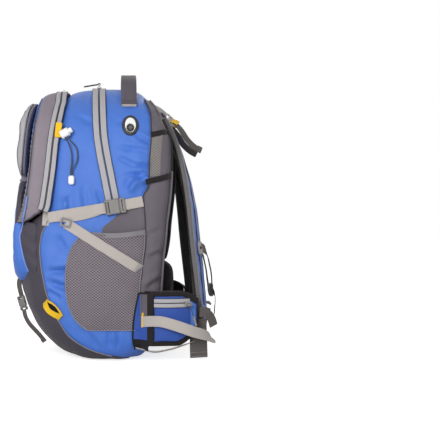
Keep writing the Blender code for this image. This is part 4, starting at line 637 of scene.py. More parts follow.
def rounded(width, height, radius, corner=4):
    """Outline of a rounded rectangle."""
    points = []
    for turn, (sx, sy) in enumerate(((1, 1), (-1, 1), (-1, -1), (1, -1))):
        for step in range(corner + 1):
            angle = math.pi / 2 * (turn + step / corner)
            points.append((sx * (width / 2 - radius) + radius * math.cos(angle),
                           sy * (height / 2 - radius) + radius * math.sin(angle)))
    return points


def copied(name, source, old_seat, new_seat, scale, body):
    """A second moulding like a frame piece, at another size and place."""
    obj = added(name, frame["nodes"][source].data.copy())
    obj.data.transform(new_seat @ Matrix.Scale(scale, 4) @ old_seat.inverted())
    dress(obj, "plastic", 0.0003)
    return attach(obj, body)


def dress(obj, key, edge=0.0):
    """Gives a moulding its finish and rounds its edges."""
    obj.data.materials.clear()
    obj.data.materials.append(M[key])
    if edge:
        step = obj.modifiers.new("rounding", "BEVEL")
        step.width, step.segments, step.limit_method, step.angle_limit = edge, 2, "ANGLE", math.radians(35)
    obj.data.shade_smooth()
    obj.data.set_sharp_from_angle(angle=math.radians(35))
    return obj


# ---------------------------------------------------------------- simulation
def puffed(obj, pinned, pressure=4.0, cap=0.006, voxel=0.0050, steps=18, stiff=8.0):
    """Swells a padded piece with Blender's cloth and keeps the result as its mesh.

    pinned(points) says, for drawing-frame points, how firmly each is held, from 0 to 1.
    """
    kept = [slot.material for slot in obj.material_slots]
    remesh = obj.modifiers.new("even", "REMESH")
    remesh.mode, remesh.voxel_size = "VOXEL", voxel
    bpy.context.view_layer.update()
    mesh = bpy.data.meshes.new_from_object(obj.evaluated_get(bpy.context.evaluated_depsgraph_get()))
    obj.modifiers.clear()
    obj.data = mesh
    start = np.array([v.co for v in mesh.vertices])
    group = obj.vertex_groups.new(name="held")
    for i, hold in enumerate(pinned(start - (0, DY, 0))):
        group.add([i], float(hold), "REPLACE")
    step = obj.modifiers.new("cloth", "CLOTH")
    rules = step.settings
    rules.quality, rules.mass = 6, 0.25
    rules.tension_stiffness = rules.compression_stiffness = stiff
    rules.shear_stiffness, rules.bending_stiffness = stiff, 0.4
    rules.use_pressure, rules.uniform_pressure_force = True, pressure
    rules.effector_weights.gravity = 0
    rules.vertex_group_mass, rules.pin_stiffness = "held", 2.0
    step.collision_settings.use_collision = False
    step.point_cache.frame_start, step.point_cache.frame_end = 1, steps
    for number in range(1, steps + 1):
        bpy.context.scene.frame_set(number)
    moved = obj.evaluated_get(bpy.context.evaluated_depsgraph_get()).data
    end = np.array([v.co for v in moved.vertices])
    shift = end - start
    far = np.linalg.norm(shift, axis=1, keepdims=True)
    end = start + shift * np.minimum(1, cap / np.maximum(far, 1e-9))
    obj.modifiers.clear()
    obj.vertex_groups.clear()
    mesh.vertices.foreach_set("co", end.ravel())
    bpy.context.scene.frame_set(1)
    box_map(mesh)
    for material in kept:
        if material.name not in mesh.materials:
            mesh.materials.append(material)
    mesh.shade_smooth()
    finer = obj.modifiers.new("finer", "SUBSURF")
    finer.levels = finer.render_levels = 1
    return obj


def box_map(mesh):
    """Lays a weave in metres over a mesh that has lost its own map, by the way each face looks."""
    layer = mesh.uv_layers.get("cloth") or mesh.uv_layers.new(name="cloth")
    for face in mesh.polygons:
        n = [abs(c) for c in face.normal]
        a, b = ((1, 2), (0, 2), (0, 1))[n.index(max(n))]
        for loop in face.loop_indices:
            co = mesh.vertices[mesh.loops[loop].vertex_index].co
            layer.data[loop].uv = (co[a], co[b])
    mesh.update()


def repaint(obj, keys, choose):
    """Gives each face of a piece the finish that choose(centre, normal) names, in the drawing frame."""
    mesh = obj.data
    mesh.materials.clear()
    for key in keys:
        mesh.materials.append(M[key])
    for face in mesh.polygons:
        c = face.center
        face.material_index = choose((c.x, c.y - DY, c.z), face.normal)
    return obj


# ---------------------------------------------------------------- the shell
def levels(low, high, count, form=main):
    """Heights between two levels, evenly spaced along the form's own curve."""
    run = np.concatenate([[0], np.hypot(np.hypot(np.diff(form.z), np.diff(form.half)),
                                        np.diff(form.back)).cumsum()])
    a, b = np.interp([low, high], form.z, run)
    return np.interp(np.linspace(a, b, count), run, form.z)


def on_side(side, y, z, lift=0.0, fold=True):
    """Points on the bag's side with its folds, and the way out there."""
    y, z = np.broadcast_arrays(np.asarray(y, float), np.asarray(z, float))
    reach = 0.006
    point = xyz(side * main.side(y, z), y, z)
    slope_y = (main.side(y + reach, z) - main.side(y - reach, z)) / (2 * reach)
    slope_z = (main.side(y, z + reach) - main.side(y, z - reach)) / (2 * reach)
    out = unit(xyz(side, -slope_y, -slope_z))
    height = np.maximum(folds(point), -0.0006) if fold else 0.0
    return point + out * (lift + np.asarray(height)[..., None] if fold else lift), out


def axis_of(points):
    """The point of the main bag's middle line at each point's height."""
    back, front = main.read(points[..., 2])[:2]
    return xyz(0, (back + front) / 2, points[..., 2])


def wall(low, high, start, end, rows, columns, lift=0.0):
    """A grid over the main bag between two lines, each an angle at each height, with the bag's folds."""
    z = levels(low, high, rows)[:, None]
    share = np.linspace(0, 1, columns)[None]
    phi = start(z) + (end(z) - start(z)) * share
    base = main.at(z, phi)
    out = grid_normals(base, base - axis_of(base))
    return base + out * (folds(base) + lift)[..., None], out


def make_shell():
    base = main.at(levels(MAIN[0][0], MAIN[-1][0], 190)[:, None], circle(260)[None])
    wrapped = np.concatenate([base[:, -1:], base, base[:, :1]], 1)
    out = grid_normals(wrapped, wrapped - axis_of(wrapped))[:, 1:-1]
    rings = base + out * folds(base)[..., None]
    rings[..., 2] = np.maximum(rings[..., 2], 0.0)
    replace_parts(skin("shell", rings, "blue"), "main_compartment")


def right(line):
    """A line of the right side as angles round the bag."""
    return lambda z: main.angle(line(z), z)


def left(line):
    """The same line on the left side."""
    return lambda z: math.pi - main.angle(line(z), z)


def on_hand(phi, side):
    """An angle of the right side, or its mirror image on the left."""
    return phi if side > 0 else math.pi - phi


def make_back_panel():
    grid, out = wall(0.030, 0.503, right(seam), left(seam), 120, 150, lift=0.0016)
    panel = cloth("back_panel_cloth", grid, "grey", 0.0014, outward=out)
    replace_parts(panel, "back_panel")
    for tag, side in SIDES.items():
        z = levels(0.030, 0.503, 110)
        edge, out = on_side(side, seam(z), z, 0.0006)
        tube("seam_piping_" + tag, edge, 0.0013, "darkthread")
        row = offset(edge, out, across=-side * 0.0042, up=0.0002)
        beads("seam_stitches_" + tag, row, out, 0.0036, (0.0026, 0.0006, 0.0005), "darkthread")
        corner = back_corner_line(side, 0.046, 0.500, 110)
        for start, end, finishes in ((0, 72, "grey"), (72, 96, "binding"), (96, 109, "grey")):
            tube(f"corner_piping_{tag}_{start}", corner[start:end + 1], 0.0021, finishes)
    for name, low, high in (("low", (0.056, 0.3385), (0.108, 0.3555)), ("high", (0.066, 0.4280), (0.100, 0.4385))):
        for tag, side in SIDES.items():
            make_strip(f"black_band_{name}_{tag}", side, low, high)
    for tag, side in SIDES.items():
        make_patch("mesh_patch_" + tag, side)


def back_corner_line(side, low, high, count):
    """Where the side turns into the back."""
    return main.at(levels(low, high, count), on_hand(math.radians(49), side), 0.0036)


def make_strip(name, side, start, end):
    """A flat band sewn over the side gusset and on round the corner of the back."""
    share = np.linspace(0, 1, 40)
    z = start[1] + (end[1] - start[1]) * share
    a = main.angle(np.float64(start[0]), z)
    phi = on_hand(a + (math.radians(52) - a) * share, side)
    ribbon(name, main.at(z, phi, 0.0022), unit(xyz(np.cos(phi), np.sin(phi), 0)), 0.0105, "binding", 0.0010)


def make_patch(name, side):
    """Perforated mesh let into the gusset between the two black bands."""
    rows, columns = 40, 16
    z = np.linspace(0.350, 0.431, rows)[:, None]
    share = np.linspace(0, 1, columns)[None]
    start = main.angle(seam(z) + 0.001, z)
    end = main.angle(seam(z) + 0.021, z)
    phi = on_hand(start + (end - start) * share, side)
    base = main.at(z, phi)
    out = unit(xyz(np.cos(phi), 0.3 * np.sin(phi), 0))
    cloth(name, base + out * (0.0026 + folds(base))[..., None], "patch", 0.0008, outward=out)


def make_gusset():
    """Dark panel under the pack that climbs both front corners beside the lower pocket."""
    grid, out = wall(0.0006, 0.176, lambda z: left(gusset_edge)(z) - 2 * math.pi, right(gusset_edge), 64, 130,
                     lift=0.0012)
    grid[..., 2] = np.maximum(grid[..., 2], 0.0004)
    cloth("base_gusset", grid, "dark", 0.0010, outward=out)
    for tag, side in SIDES.items():
        turn = right if side > 0 else left
        grid, out = wall(0.152, 0.280, turn(gusset_front), turn(gusset_edge), 44, 26, lift=0.0016)
        cloth("side_gusset_" + tag, grid, "dark", 0.0010, outward=out)
        z = levels(0.012, 0.266, 90)
        edge, out = on_side(side, gusset_edge(z), z, 0.0016)
        tube("gusset_piping_" + tag, edge, 0.0011, "piping")


def organizer_side(y, z):
    """Half width of the organizer, read from inside its own range."""
    return organizer.side(np.maximum(y, organizer.read(z)[1] + 0.0005), np.maximum(z, 0.275))


# ---------------------------------------------------------------- zippers
ARCH_CENTRE = 0.40           # height of the axis that both zipper arches are read from


def reach(form, line, angle):
    """Distance from the axis to the form's surface in the sheet y = line(z)."""
    near, far = np.zeros_like(angle), np.full_like(angle, 0.4)
    for _ in range(34):
        half = (near + far) / 2
        x, z = half * np.cos(angle), ARCH_CENTRE + half * np.sin(angle)
        y = line(z)
        back, front, wide, corner, rear = form.read(z)
        p = np.where(y > (back + front) / 2, rear, corner)
        s = np.abs((y - (back + front) / 2) / np.maximum((back - front) / 2, 1e-6))
        within = (np.abs(x / wide)**p + s**p <= 1) & (z <= form.z[-1]) & (z >= form.z[0])
        near, far = np.where(within, half, near), np.where(within, far, half)
    return near


def arch(radius_of, line, foot_angle, lift, count):
    """A zipper's line over the bag from foot to foot, and the way out along it."""
    angle = np.linspace(foot_angle, math.pi - foot_angle, count)
    radius = radius_of(angle)
    points = xyz(radius * np.cos(angle), 0, ARCH_CENTRE + radius * np.sin(angle))
    for _ in range(3):
        points[1:-1] = (points[:-2] + 2 * points[1:-1] + points[2:]) / 4
    run = np.gradient(points, axis=0)
    normals = unit(xyz(run[:, 2], 0, -run[:, 0]))
    points[:, 1] = line(points[:, 2])
    return points + normals * lift, normals


def zipper(name, points, normals, width, node_name, body="pack", edge="darkthread"):
    """Two tapes with a dark tube along each folded edge as painted shadow of the fold, their stitching, and the coil
    between them.
    """
    half = width / 2
    tapes = []
    for row, side in (("front", -1), ("rear", 1)):
        middle = offset(points, normals, across=side * (half / 2 + 0.0009))
        tapes.append(ribbon(f"{name}_tape_{row}", middle, normals, half - 0.0018, "tape", 0.0011, body, wave=0.0001))
        # Dark tube along the tape's outer edge: painted shadow of the folded edge.
        outer = offset(points, normals, across=side * (half - 0.0002), up=0.0006)
        tube(f"{name}_fold_{row}", outer, 0.0007, edge, body)
        stitched = offset(points, normals, across=side * (half - 0.0022), up=0.0012)
        beads(f"{name}_stitches_{row}", stitched, normals, 0.0034, (0.0025, 0.0005, 0.0004), "thread", body)
    beads(name + "_coil", offset(points, normals, up=0.0007), normals, TOOTH_PITCH, (0.0013, 0.0036, 0.0022), "coil",
          body)
    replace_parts(tapes[0], node_name)


def make_zippers():
    foot = math.atan2(0.306 - ARCH_CENTRE, float(main.side(zip_line(0.306), 0.306)))
    points, normals = arch(lambda a: reach(main, zip_line, a), zip_line, foot, 0.0014, 240)
    zipper("main_zip", points, normals, MAIN_ZIP, "zipper_main")

    def front_edge(z):
        return np.interp(np.minimum(z, 0.488), main.z, main.front)

    def radius(angle):
        on_main = reach(main, lambda z: np.maximum(front_edge(z), -0.120) + 0.014, angle)
        on_organizer = reach(organizer, lambda z: front_edge(z) - 0.014, angle)
        return np.maximum(on_main, on_organizer)

    foot = math.atan2(0.283 - ARCH_CENTRE, float(np.interp(0.283, main.z, main.half)))
    points, normals = arch(radius, lambda z: np.minimum(np.interp(z, main.z, main.front), -0.104), foot, 0.0022, 220)
    zipper("organizer_zip", points, normals, ORGANIZER_ZIP, "zipper_organizer")


# ---------------------------------------------------------------- organizer and front pockets
def pleats(y, z, size):
    """Slanting gathers of about one size, between -1 and 1."""
    return np.sin((z + 0.9 * y) * 2 * math.pi / size + 1.5 * np.sin(z * 57 + y * 20))


def make_organizer():
    rows, columns = 120, 200
    z = levels(0.264, 0.5185, rows, organizer)[:, None]
    phi = np.linspace(-math.pi / 2, 1.5 * math.pi, columns, endpoint=False)[None]
    base = organizer.at(z, phi)
    y = base[..., 1]
    light = np.broadcast_to(gusset_light(z), y.shape)
    flank = smooth_step(0.06, 0.12, np.abs(base[..., 0]))
    dark = 1 / (1 + np.exp((y - light) / 0.0012))
    rise = 0.0007 * swell(base, 0.05, 11) - 0.0006
    rise = rise + flank * dark * (0.0013 * pleats(y, z, 0.0105) - 0.0012)
    rise = rise + flank * (1 - dark) * 0.0008 * pleats(y, z, 0.030) * smooth_step(0.40, 0.28, z)
    rise = rise - 0.0018 * np.exp(-((y - light) / 0.004)**2) * flank
    out = xyz(np.cos(phi), np.sin(phi), 0)
    rings = base + out * rise[..., None]
    kinds = np.zeros((rows - 1, columns), int)
    middle_y, middle_x = y[:-1], np.abs(base[:-1, :, 0])
    kinds[middle_y < light[:-1]] = 1
    front = organizer.read(z)[1][:-1] + 0.010
    kinds[(middle_y < front) & (middle_x < 0.118)] = 2
    bag = skin("organizer_cloth", rings, ["gusset", "pleat", "blue"], face_finish=kinds)
    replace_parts(bag, "organizer_compartment")
    for tag, side in SIDES.items():
        z = levels(0.284, 0.508, 90, organizer)
        y = gusset_light(z)
        edge = xyz(side * (organizer.side(y, z) + 0.0002), y, z)
        tube("gusset_seam_" + tag, edge, 0.0008, "darkthread")


def rim_of(z):
    """Depth at which the front pocket's cover meets its wall."""
    return pocket.read(z)[0] - 0.007


FRONT_TAPE = 0.0165          # width of the zipper tape round the front pocket's cover


def make_pockets():
    """Front pocket: fixed dark wall, and the blue front that opens, with its zipper tape."""
    rows, columns = 120, 360
    z = levels(POCKET[0][0], POCKET[-1][0], rows, pocket)[:, None]
    phi = circle(columns)[None]
    full = pocket.at(z, phi)
    rim = rim_of(z)
    tray = full.copy()
    tray[..., 1] = np.maximum(tray[..., 1], rim + 0.0006)
    wallness = smooth_step(0.0, 0.004, tray[..., 1] - rim - 0.0006) * smooth_step(0.03, 0.06, np.abs(full[..., 0]))
    tray = tray + xyz(np.cos(phi), 0, 0) * (wallness * (0.0007 * pleats(full[..., 1], z, 0.009) - 0.0007))[..., None]
    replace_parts(skin("front_pocket_wall", tray, "pleat"), "front_pocket")
    front = full.copy()
    front[..., 1] = np.minimum(front[..., 1], rim - 0.0006)
    puff = smooth_step(0.0, 0.5, -np.sin(phi))
    depth = front[..., 1] - rim
    front[..., 1] -= puff * (0.0016 * swell(full, 0.06, 21) * smooth_step(0, -0.010, depth) + 0.0010)
    half = np.interp(z, pocket.z, pocket.half)
    slope = np.gradient(half[:, 0], z[:, 0])[:, None]
    from_edge = (half - np.abs(full[..., 0])) / np.sqrt(1 + slope**2)
    inward = np.hypot(np.minimum(from_edge, pocket.z[-1] - z), depth)
    kinds = (inward[:-1] > FRONT_TAPE).astype(int)
    flap = skin("front_pocket_cover", front, ["tape", "blue"], body="front_flap", face_finish=kinds)
    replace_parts(flap, "front_pocket_flap")
    z = levels(POCKET[0][0], POCKET[-1][0], 90, pocket)
    edge = xyz(np.interp(z, pocket.z, pocket.half) + 0.0004, rim_of(z), z)
    loop = np.concatenate([edge[4:], edge[:3:-1] * (-1, 1, 1)])
    loop_normals = unit(loop - (0, 0, 0.42))
    loop_normals[:, 1] = 0
    beads("front_zip_coil", loop - np.array([0, 0.0018, 0]), loop_normals, 0.0018, (0.0014, 0.0030, 0.0016), "coil",
          "front_flap")
    # Dark tube along the inner edge of the cover's zipper tape on each side: painted shadow of the tape's fold.
    for tag, side in SIDES.items():
        off = np.abs(inward - FRONT_TAPE) + ((full[..., 0] * side < 0) | (depth > -0.002))
        rows_used = np.flatnonzero(off.min(1) < 0.0015)[2:-2]
        inner = front[rows_used, off[rows_used].argmin(1)]
        inner = np.stack([np.convolve(inner[:, k], np.ones(5) / 5, "valid") for k in range(3)], 1)
        inner = inner + unit(inner * (1, 0, 0)) * 0.0002 - (0, 0.0004, 0)
        tube("front_zip_fold_" + tag, inner, 0.0008, "darkthread", "front_flap")
    make_lower_pocket()


def make_lower_pocket():
    """Full lower pocket whose side gussets run back to the main bag."""
    rows, front_count, gusset_count = 90, 96, 8
    z = np.linspace(0.1485, 0.347, rows)
    wide, piping, front = lower_wide(z), lower_piping(z), lower_front(z)
    t = np.linspace(0, math.pi, front_count)
    c, s = np.cos(t), np.sin(t)
    power = 2 / 4.5
    x = wide[:, None] * (np.sign(c) * np.abs(c)**power)[None]
    y = piping[:, None] + (front - piping)[:, None] * (np.abs(s)**power)[None]
    face = xyz(x, y, z[:, None])
    puff = 0.0017 * swell(face, 0.07, 31) + 0.0006 * swell(face, 0.025, 33)
    near_ends = smooth_step(0.150, 0.168, z) * smooth_step(0.347, 0.325, z)
    face[..., 1] -= smooth_step(0.2, 0.9, s)[None] * puff * near_ends[:, None]
    upper = smooth_step(0.260, 0.268, z)
    root_y = -0.146 * (1 - upper) + (piping + 0.003) * upper
    root_x = (main.side(np.full(rows, -0.146), np.minimum(z, 0.262)) + 0.0006) * (1 - upper) + (wide - 0.004) * upper
    closing = 1 - smooth_step(0.1485, 0.170, z)
    root_x, root_y = root_x + (wide - root_x) * closing, root_y + (piping - root_y) * closing
    parts = [face]
    for side in (-1, 1):
        share = np.linspace(0, 1, gusset_count + 2)[1:-1]
        share = share if side < 0 else share[::-1]
        bulge = 0.0022 * np.sin(math.pi * share)[None] * (1 - upper)[:, None]
        gx = side * (wide[:, None] * (1 - share) + root_x[:, None] * share + bulge)
        gy = piping[:, None] * (1 - share) + root_y[:, None] * share
        wrinkle = 0.0010 * np.sin((z[:, None] * 0.8 + gy * 0.6) * 2 * math.pi / 0.023)
        parts.append(xyz(gx + side * wrinkle * (1 - upper)[:, None], gy, z[:, None]))
    rings = np.concatenate(parts, 1)
    kinds = np.full((rows - 1, rings.shape[1]), 1)
    kinds[1:-1, :front_count - 1] = 0
    beside = np.zeros(rings.shape[1], bool)
    beside[:front_count] = s < 0.62
    kinds[(z[:-1, None] > 0.262) & beside[None]] = 1
    bag = skin("lower_pocket_cloth", rings, ["blue", "dark"], face_finish=kinds)
    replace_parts(bag, "lower_front_pocket")
    c, s = np.cos(circle(60)), np.sin(circle(60))
    neck = np.array([xyz(w * np.sign(c) * np.abs(c)**0.5, -0.1765 + 0.0085 * np.sign(s) * np.abs(s)**0.5, h)
                     for h, w in ((0.343, 0.098), (0.348, 0.096), (0.353, 0.086))])
    skin("pocket_neck", neck, "pleat")
    mouth = face[-2, 4:-4] + (0, -0.0004, 0.0008)
    tube("lower_pocket_binding", mouth, 0.0016, "binding")
    # A lighter blue tube along each side fold of the lower pocket: piping, its lighter blue a painted highlight on the
    # fold edge.
    for tag, side in SIDES.items():
        z = np.linspace(0.157, 0.312, 60)
        y = piping_line(z)
        on_top = smooth_step(0.252, 0.276, z)
        x = lower_wide(z) * (1 - on_top) + (organizer_side(y, z) + 0.0020) * on_top
        tube("pocket_piping_highlight_" + tag, xyz(side * (x + 0.0006), y, z), 0.0015, "bluepipe_highlight")


# ---------------------------------------------------------------- side mesh pockets
def mesh_front(z):
    """Front edge of the side mesh pocket."""
    share = np.clip(np.abs((z - MESH_MID) / MESH_HALF_HEIGHT), 0, 1)
    return -0.020 - 0.072 * (1 - share**2.4)**(1 / 2.4)


def mesh_lift(y, z):
    """How far the side mesh stands off the bag."""
    front, rear = mesh_front(z), seam(z) - 0.0015
    across = np.clip((y - front) / (rear - front), 0, 1)
    up = np.clip((z - MESH_LOW) / 0.09, 0, 1)
    return 0.0006 + MESH_BULGE * np.sin(math.pi * across)**0.6 * np.sin(math.pi / 2 * up)**0.8


def make_mesh_pocket(tag):
    side = SIDES[tag]
    rows, columns = 80, 70
    level = np.linspace(MESH_LOW, MESH_HIGH, rows)[:, None]
    front, rear = mesh_front(level), seam(level) - 0.0015
    y = front + (rear - front) * np.linspace(0, 1, columns)[None]
    z = level + 0 * y
    base, out = on_side(side, y, z, 0.0, fold=False)
    x = np.abs(base[..., 0]) + mesh_lift(y, z) + 0.0012 + 0.0006 * swell(base, 0.03, 41)
    share = (z - MESH_LOW) / (MESH_HIGH - MESH_LOW)
    z = z - 0.004 * smooth_step(0.8, 1.0, share) * np.sin(math.pi * (y - front) / (rear - front))
    z = z + 0.004 * (y - rear) / (rear - front) * smooth_step(0.5, 1.0, share)
    points = xyz(side * x, y, z)
    net = cloth("mesh_net_" + tag, points, "mesh", 0.0010, outward=out, stretch=np.stack([y, z], -1))
    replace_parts(net, "mesh_pocket_" + tag)
    rim = points[-1]
    normals = np.broadcast_to(np.array([side, 0, 0.15]), rim.shape)
    ribbon("mesh_hem_" + tag, rim + np.array([side * 0.0001, 0, -0.0050]), normals, 0.0095, "piping", 0.0013,
           wave=0.0004)
    border = np.concatenate([points[::-1, 0], points[0, 1:], points[1:, -1]])
    tube("mesh_edge_" + tag, border + (side * 0.0004, 0, 0), 0.0012, "piping")
    rows, columns = 30, 40
    z = np.linspace(0.225, 0.302, rows)[:, None]
    start = np.interp(z, [0.225, 0.255, 0.276, 0.302], [-0.030, -0.022, 0.004, 0.030])
    y = start + (seam(z) - start) * np.linspace(0, 1, columns)[None]
    points, out = on_side(side, y, z, 0.0008)
    wrinkle = 0.0005 * np.sin((y * 0.7 + z * 0.5) * 2 * math.pi / 0.021)
    cloth("pocket_backing_" + tag, points + out * wrinkle[..., None], "grey", 0.0006, outward=out)


# ---------------------------------------------------------------- compression straps
ANCHOR, BUCKLE_MOUTH, REAR_SEWN = (-0.124, 0.2725), (0.008, 0.2945), (0.050, 0.3025)
DIAGONAL_TOP, DIAGONAL_FOOT = (-0.092, 0.262), (0.0495, 0.1739)
COMPRESSION_RUN = unit(np.array([0, BUCKLE_MOUTH[0] - ANCHOR[0], BUCKLE_MOUTH[1] - ANCHOR[1]]))
MOUTH_OUT = 0.0078           # a compression buckle's middle stands this far off the side
SOCKET_BAR = 0.74            # where the webbing ends in a buckle, as a share of the socket's length


def mesh_cover(y, z):
    """How far anything over the side is pushed out by the mesh pocket."""
    inside = (MESH_LOW < z) & (z <= MESH_HIGH + 0.004) & (mesh_front(z) - 0.002 < y) & (y < seam(z) + 0.002)
    return np.where(inside, mesh_lift(y, np.minimum(z, MESH_HIGH)) + 0.0014, 0.0)


def over_side(side, y, z, run, width, lift):
    """Points of a flat band over the side that keeps its whole width clear of what lies under it."""
    far = np.zeros_like(y)
    for share in (-0.5, -0.25, 0, 0.25, 0.5):
        at_y, at_z = y - run[2] * width * share, z + run[1] * width * share
        flank = main.side(at_y, at_z)
        fold = np.maximum(folds(xyz(side * flank, at_y, at_z)), 0) * 0.6
        far = np.maximum(far, flank + mesh_cover(at_y, at_z) + fold)
    return xyz(side * (far + lift), y, z)


def eased_x(line, side, rounds=6):
    """The same line drawn taut, so that it bridges hollows."""
    for _ in range(rounds):
        bridge = (np.abs(line[:-2, 0]) + np.abs(line[2:, 0])) / 2
        line[1:-1, 0] = side * np.maximum(bridge, np.abs(line[1:-1, 0]))
    return line


def box_stitch(name, points, normals, width, finishes="thread", body="pack"):
    """Two rows of stitching across webbing near its end."""
    run, across, up = frames_of(points, normals)
    for k, i in enumerate((3, 8)):
        line = np.stack([points[i] + across[i] * a + up[i] * (WEB_THICK + 0.0002)
                         for a in np.linspace(-0.42, 0.42, 9) * width])
        beads(f"{name}_{k}", line, up[i], 0.0024, (0.0018, 0.0005, 0.0005), finishes, body)


def make_compression(tag):
    side = SIDES[tag]
    outward = np.array([side, 0, 0])
    along = COMPRESSION_RUN
    mouth = np.array([side * (main.side(*BUCKLE_MOUTH) + MOUTH_OUT), *BUCKLE_MOUTH])
    end = mouth - along * (WEB * SOCKET_LONG * SOCKET_BAR) - outward * UNDER_BAR
    enter = end - along * 0.012
    share = np.linspace(0, 1, 46)[:-6]
    y, z = ANCHOR[0] + (enter[1] - ANCHOR[0]) * share, ANCHOR[1] + (enter[2] - ANCHOR[1]) * share
    line = np.concatenate([eased_x(over_side(side, y, z, along, WEB, 0.0016), side), [enter, end]])
    line = smooth_line(line[::4].tolist() + [line[-1].tolist()], 70)
    web = ribbon("compression_web_cloth_" + tag, line, outward, WEB, seed=side)
    tail = line[8:62] - outward * 0.0004
    tail[:, 2] -= 0.0062 * np.sin(np.linspace(0, math.pi, len(tail)))**0.8
    ribbon("compression_tail_loop_" + tag, tail, outward, WEB * 0.9, seed=3 + side, wave=0.0006)
    box_stitch("anchor_stitches_" + tag, line, outward, WEB)
    fall = unit(np.array([0, DIAGONAL_FOOT[0] - DIAGONAL_TOP[0], DIAGONAL_FOOT[1] - DIAGONAL_TOP[1]]))
    share = np.linspace(0, 1, 60)
    y = DIAGONAL_TOP[0] + (DIAGONAL_FOOT[0] - DIAGONAL_TOP[0]) * share
    z = DIAGONAL_TOP[1] + (DIAGONAL_FOOT[1] - DIAGONAL_TOP[1]) * share
    lower_line = eased_x(over_side(side, y, z, fall, WEB, 0.0014), side, 30)
    lower_line[-6:, 0] -= side * 0.0120 * np.linspace(0, 1, 6)**1.2
    ribbon("diagonal_web_" + tag, lower_line, outward, WEB * 0.95, seed=5 + side)
    box_stitch("diagonal_stitches_" + tag, lower_line[::-1], outward, WEB)
    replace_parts(web, "compression_web_" + tag)
    spot, out = on_side(side, DIAGONAL_TOP[0] + 0.001, DIAGONAL_TOP[1] + 0.001, 0.0056)
    ring = seat_at(spot, (0, -0.25, -1), outward)
    plate("keeper_ring_" + tag, [rounded(0.017, 0.021, 0.003), rounded(0.010, 0.014, 0.002)], 0.0028, "plastic",
          seat=ring)
    strip, out = on_side(side, ANCHOR[0] + np.linspace(-0.006, -0.0045, 14), np.linspace(0.2575, 0.2880, 14), 0.0016)
    ribbon("anchor_patch_" + tag, strip, outward, 0.0125, "web", 0.0012, wave=0)
    start = mouth + along * (CLIP_STEP + WEB * 0.27) - outward * UNDER_BAR
    sewn = over_side(side, np.array([REAR_SEWN[0]]), np.array([REAR_SEWN[1]]), along, WEB, 0.0024)[0]
    knots = [start, start + along * 0.007, (start + along * 0.007) * 0.4 + sewn * 0.6, sewn + along * 0.002]
    rear = ribbon("compression_rear_web_" + tag, smooth_line(knots, 30), outward, WEB, body=None)
    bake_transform(rear)
    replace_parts(rear, "compression_tail_" + tag)
    for kind in ("buckle", "clip"):
        dress(frame["nodes"][f"compression_{kind}_{tag}"], "plastic", 0.0004)


# ---------------------------------------------------------------- crown
def make_crown():
    y, foot_z, top = 0.027, 0.497, 0.5555
    foot = float(main.side(y, foot_z))
    knots = [(foot + 0.0010, y, foot_z), (foot - 0.004, y, foot_z + 0.016), (foot * 0.88, y, foot_z + 0.034),
             (foot * 0.70, y, top - 0.011), (foot * 0.40, y, top - 0.002), (0, y, top)]
    half = smooth_line(knots, 60)
    line = np.concatenate([half, (half * (-1, 1, 1))[-2::-1]])
    run = np.gradient(line, axis=0)
    normals = unit(xyz(run[:, 2], 0, -run[:, 0]))
    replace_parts(ribbon("handle_web", line, normals, HANDLE_WIDE, "handle", 0.0032, wave=0.0005), "haul_handle")
    for tag, side in SIDES.items():
        z = np.linspace(foot_z - 0.012, foot_z + 0.004, 12)
        sewn, out = on_side(side, np.full(12, y), z, 0.0014)
        ribbon("handle_foot_" + tag, sewn, out, HANDLE_WIDE + 0.001, "handle", 0.0034, wave=0)
        edge = np.stack([sewn[0] + np.array([0, d, 0.0006]) + out[0] * 0.0036 for d in np.linspace(-0.014, 0.014, 12)])
        beads("handle_stitches_" + tag, edge, out[0], 0.0026, (0.0022, 0.0007, 0.0007))
        hem = edge - out[0] * 0.0030 - np.array([0, 0, 0.0012])
        ribbon("handle_hem_" + tag, hem, out[0], 0.0026, "web", 0.0036, wave=0)
    for name in ("slider_main", "slider_organizer", "slider_front", "slider_hip"):
        dress(frame["nodes"][name], "metal", 0.0003)
    dress(frame["nodes"]["pull_main"], "darkweb", 0.0004)
    dress(frame["nodes"]["frame_sheet"], "black")


def cord_pull(name, start, way, length, body):
    """Moulded pull on a zipper slider: a loop of cord gathered in a slim grip."""
    start, way = np.array(start, float), unit(np.array(way, float))
    knots = [start, start + way * length * 0.35 + (0, 0, -0.001), start + way * length * 0.75 + (0, 0, -0.003),
             start + way * length + (0, 0, -0.004)]
    line = smooth_line(knots, 24)
    tube(name + "_neck", line[:15], 0.0010, "cord", body)
    tube(name + "_grip", line[12:], 0.0022, "plastic", body, sides=3)


def side_rings(middle, half, shares):
    """Rings on the right side round one spot, each at a share of the half sizes and a height over the cloth."""
    angle, rings = circle(48), []
    for share, rise in shares:
        point, out = on_side(1, middle[0] + half[0] * share * np.cos(angle),
                             middle[1] + half[1] * share * np.sin(angle), 0.0006)
        rings.append(point + out * rise)
    return np.array(rings)


def make_port():
    """Cable port on the right side: black rubber rim, pale insert and a dark slit outlet low in it."""
    at, half = (0.0290, 0.4460), (0.0150, 0.0185)
    rim = side_rings(at, half, ((0.45, 0.0012), (0.58, 0.0016), (0.66, 0.0032), (0.92, 0.0032), (1.03, 0.0022),
                                (1.06, 0.0)))
    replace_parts(skin("port_rim", rim, "black"), "headphone_port")
    skin("port_insert", side_rings(at, (half[0], half[1] * 1.12), ((0.05, 0.0036), (0.4, 0.0036), (0.62, 0.0035),
                                                                   (0.70, 0.0030), (0.71, 0.0))), "white")
    hub = (at[0] - 0.0004, at[1] - 0.0060)
    skin("port_outlet", side_rings(hub, (1, 1), ((0.0006, 0.0044), (0.0044, 0.0048), (0.0060, 0.0062),
                                                 (0.0072, 0.0056), (0.0076, 0.0))), "black")
    for k in range(3):
        turn = math.pi * k / 3
        r = np.array([-0.0052, 0, 0.0052])
        slit, _ = on_side(1, hub[0] + r * math.cos(turn), hub[1] + r * math.sin(turn), 0.0050)
        tube(f"port_slit_{k}", slit, 0.00045, "plastic")


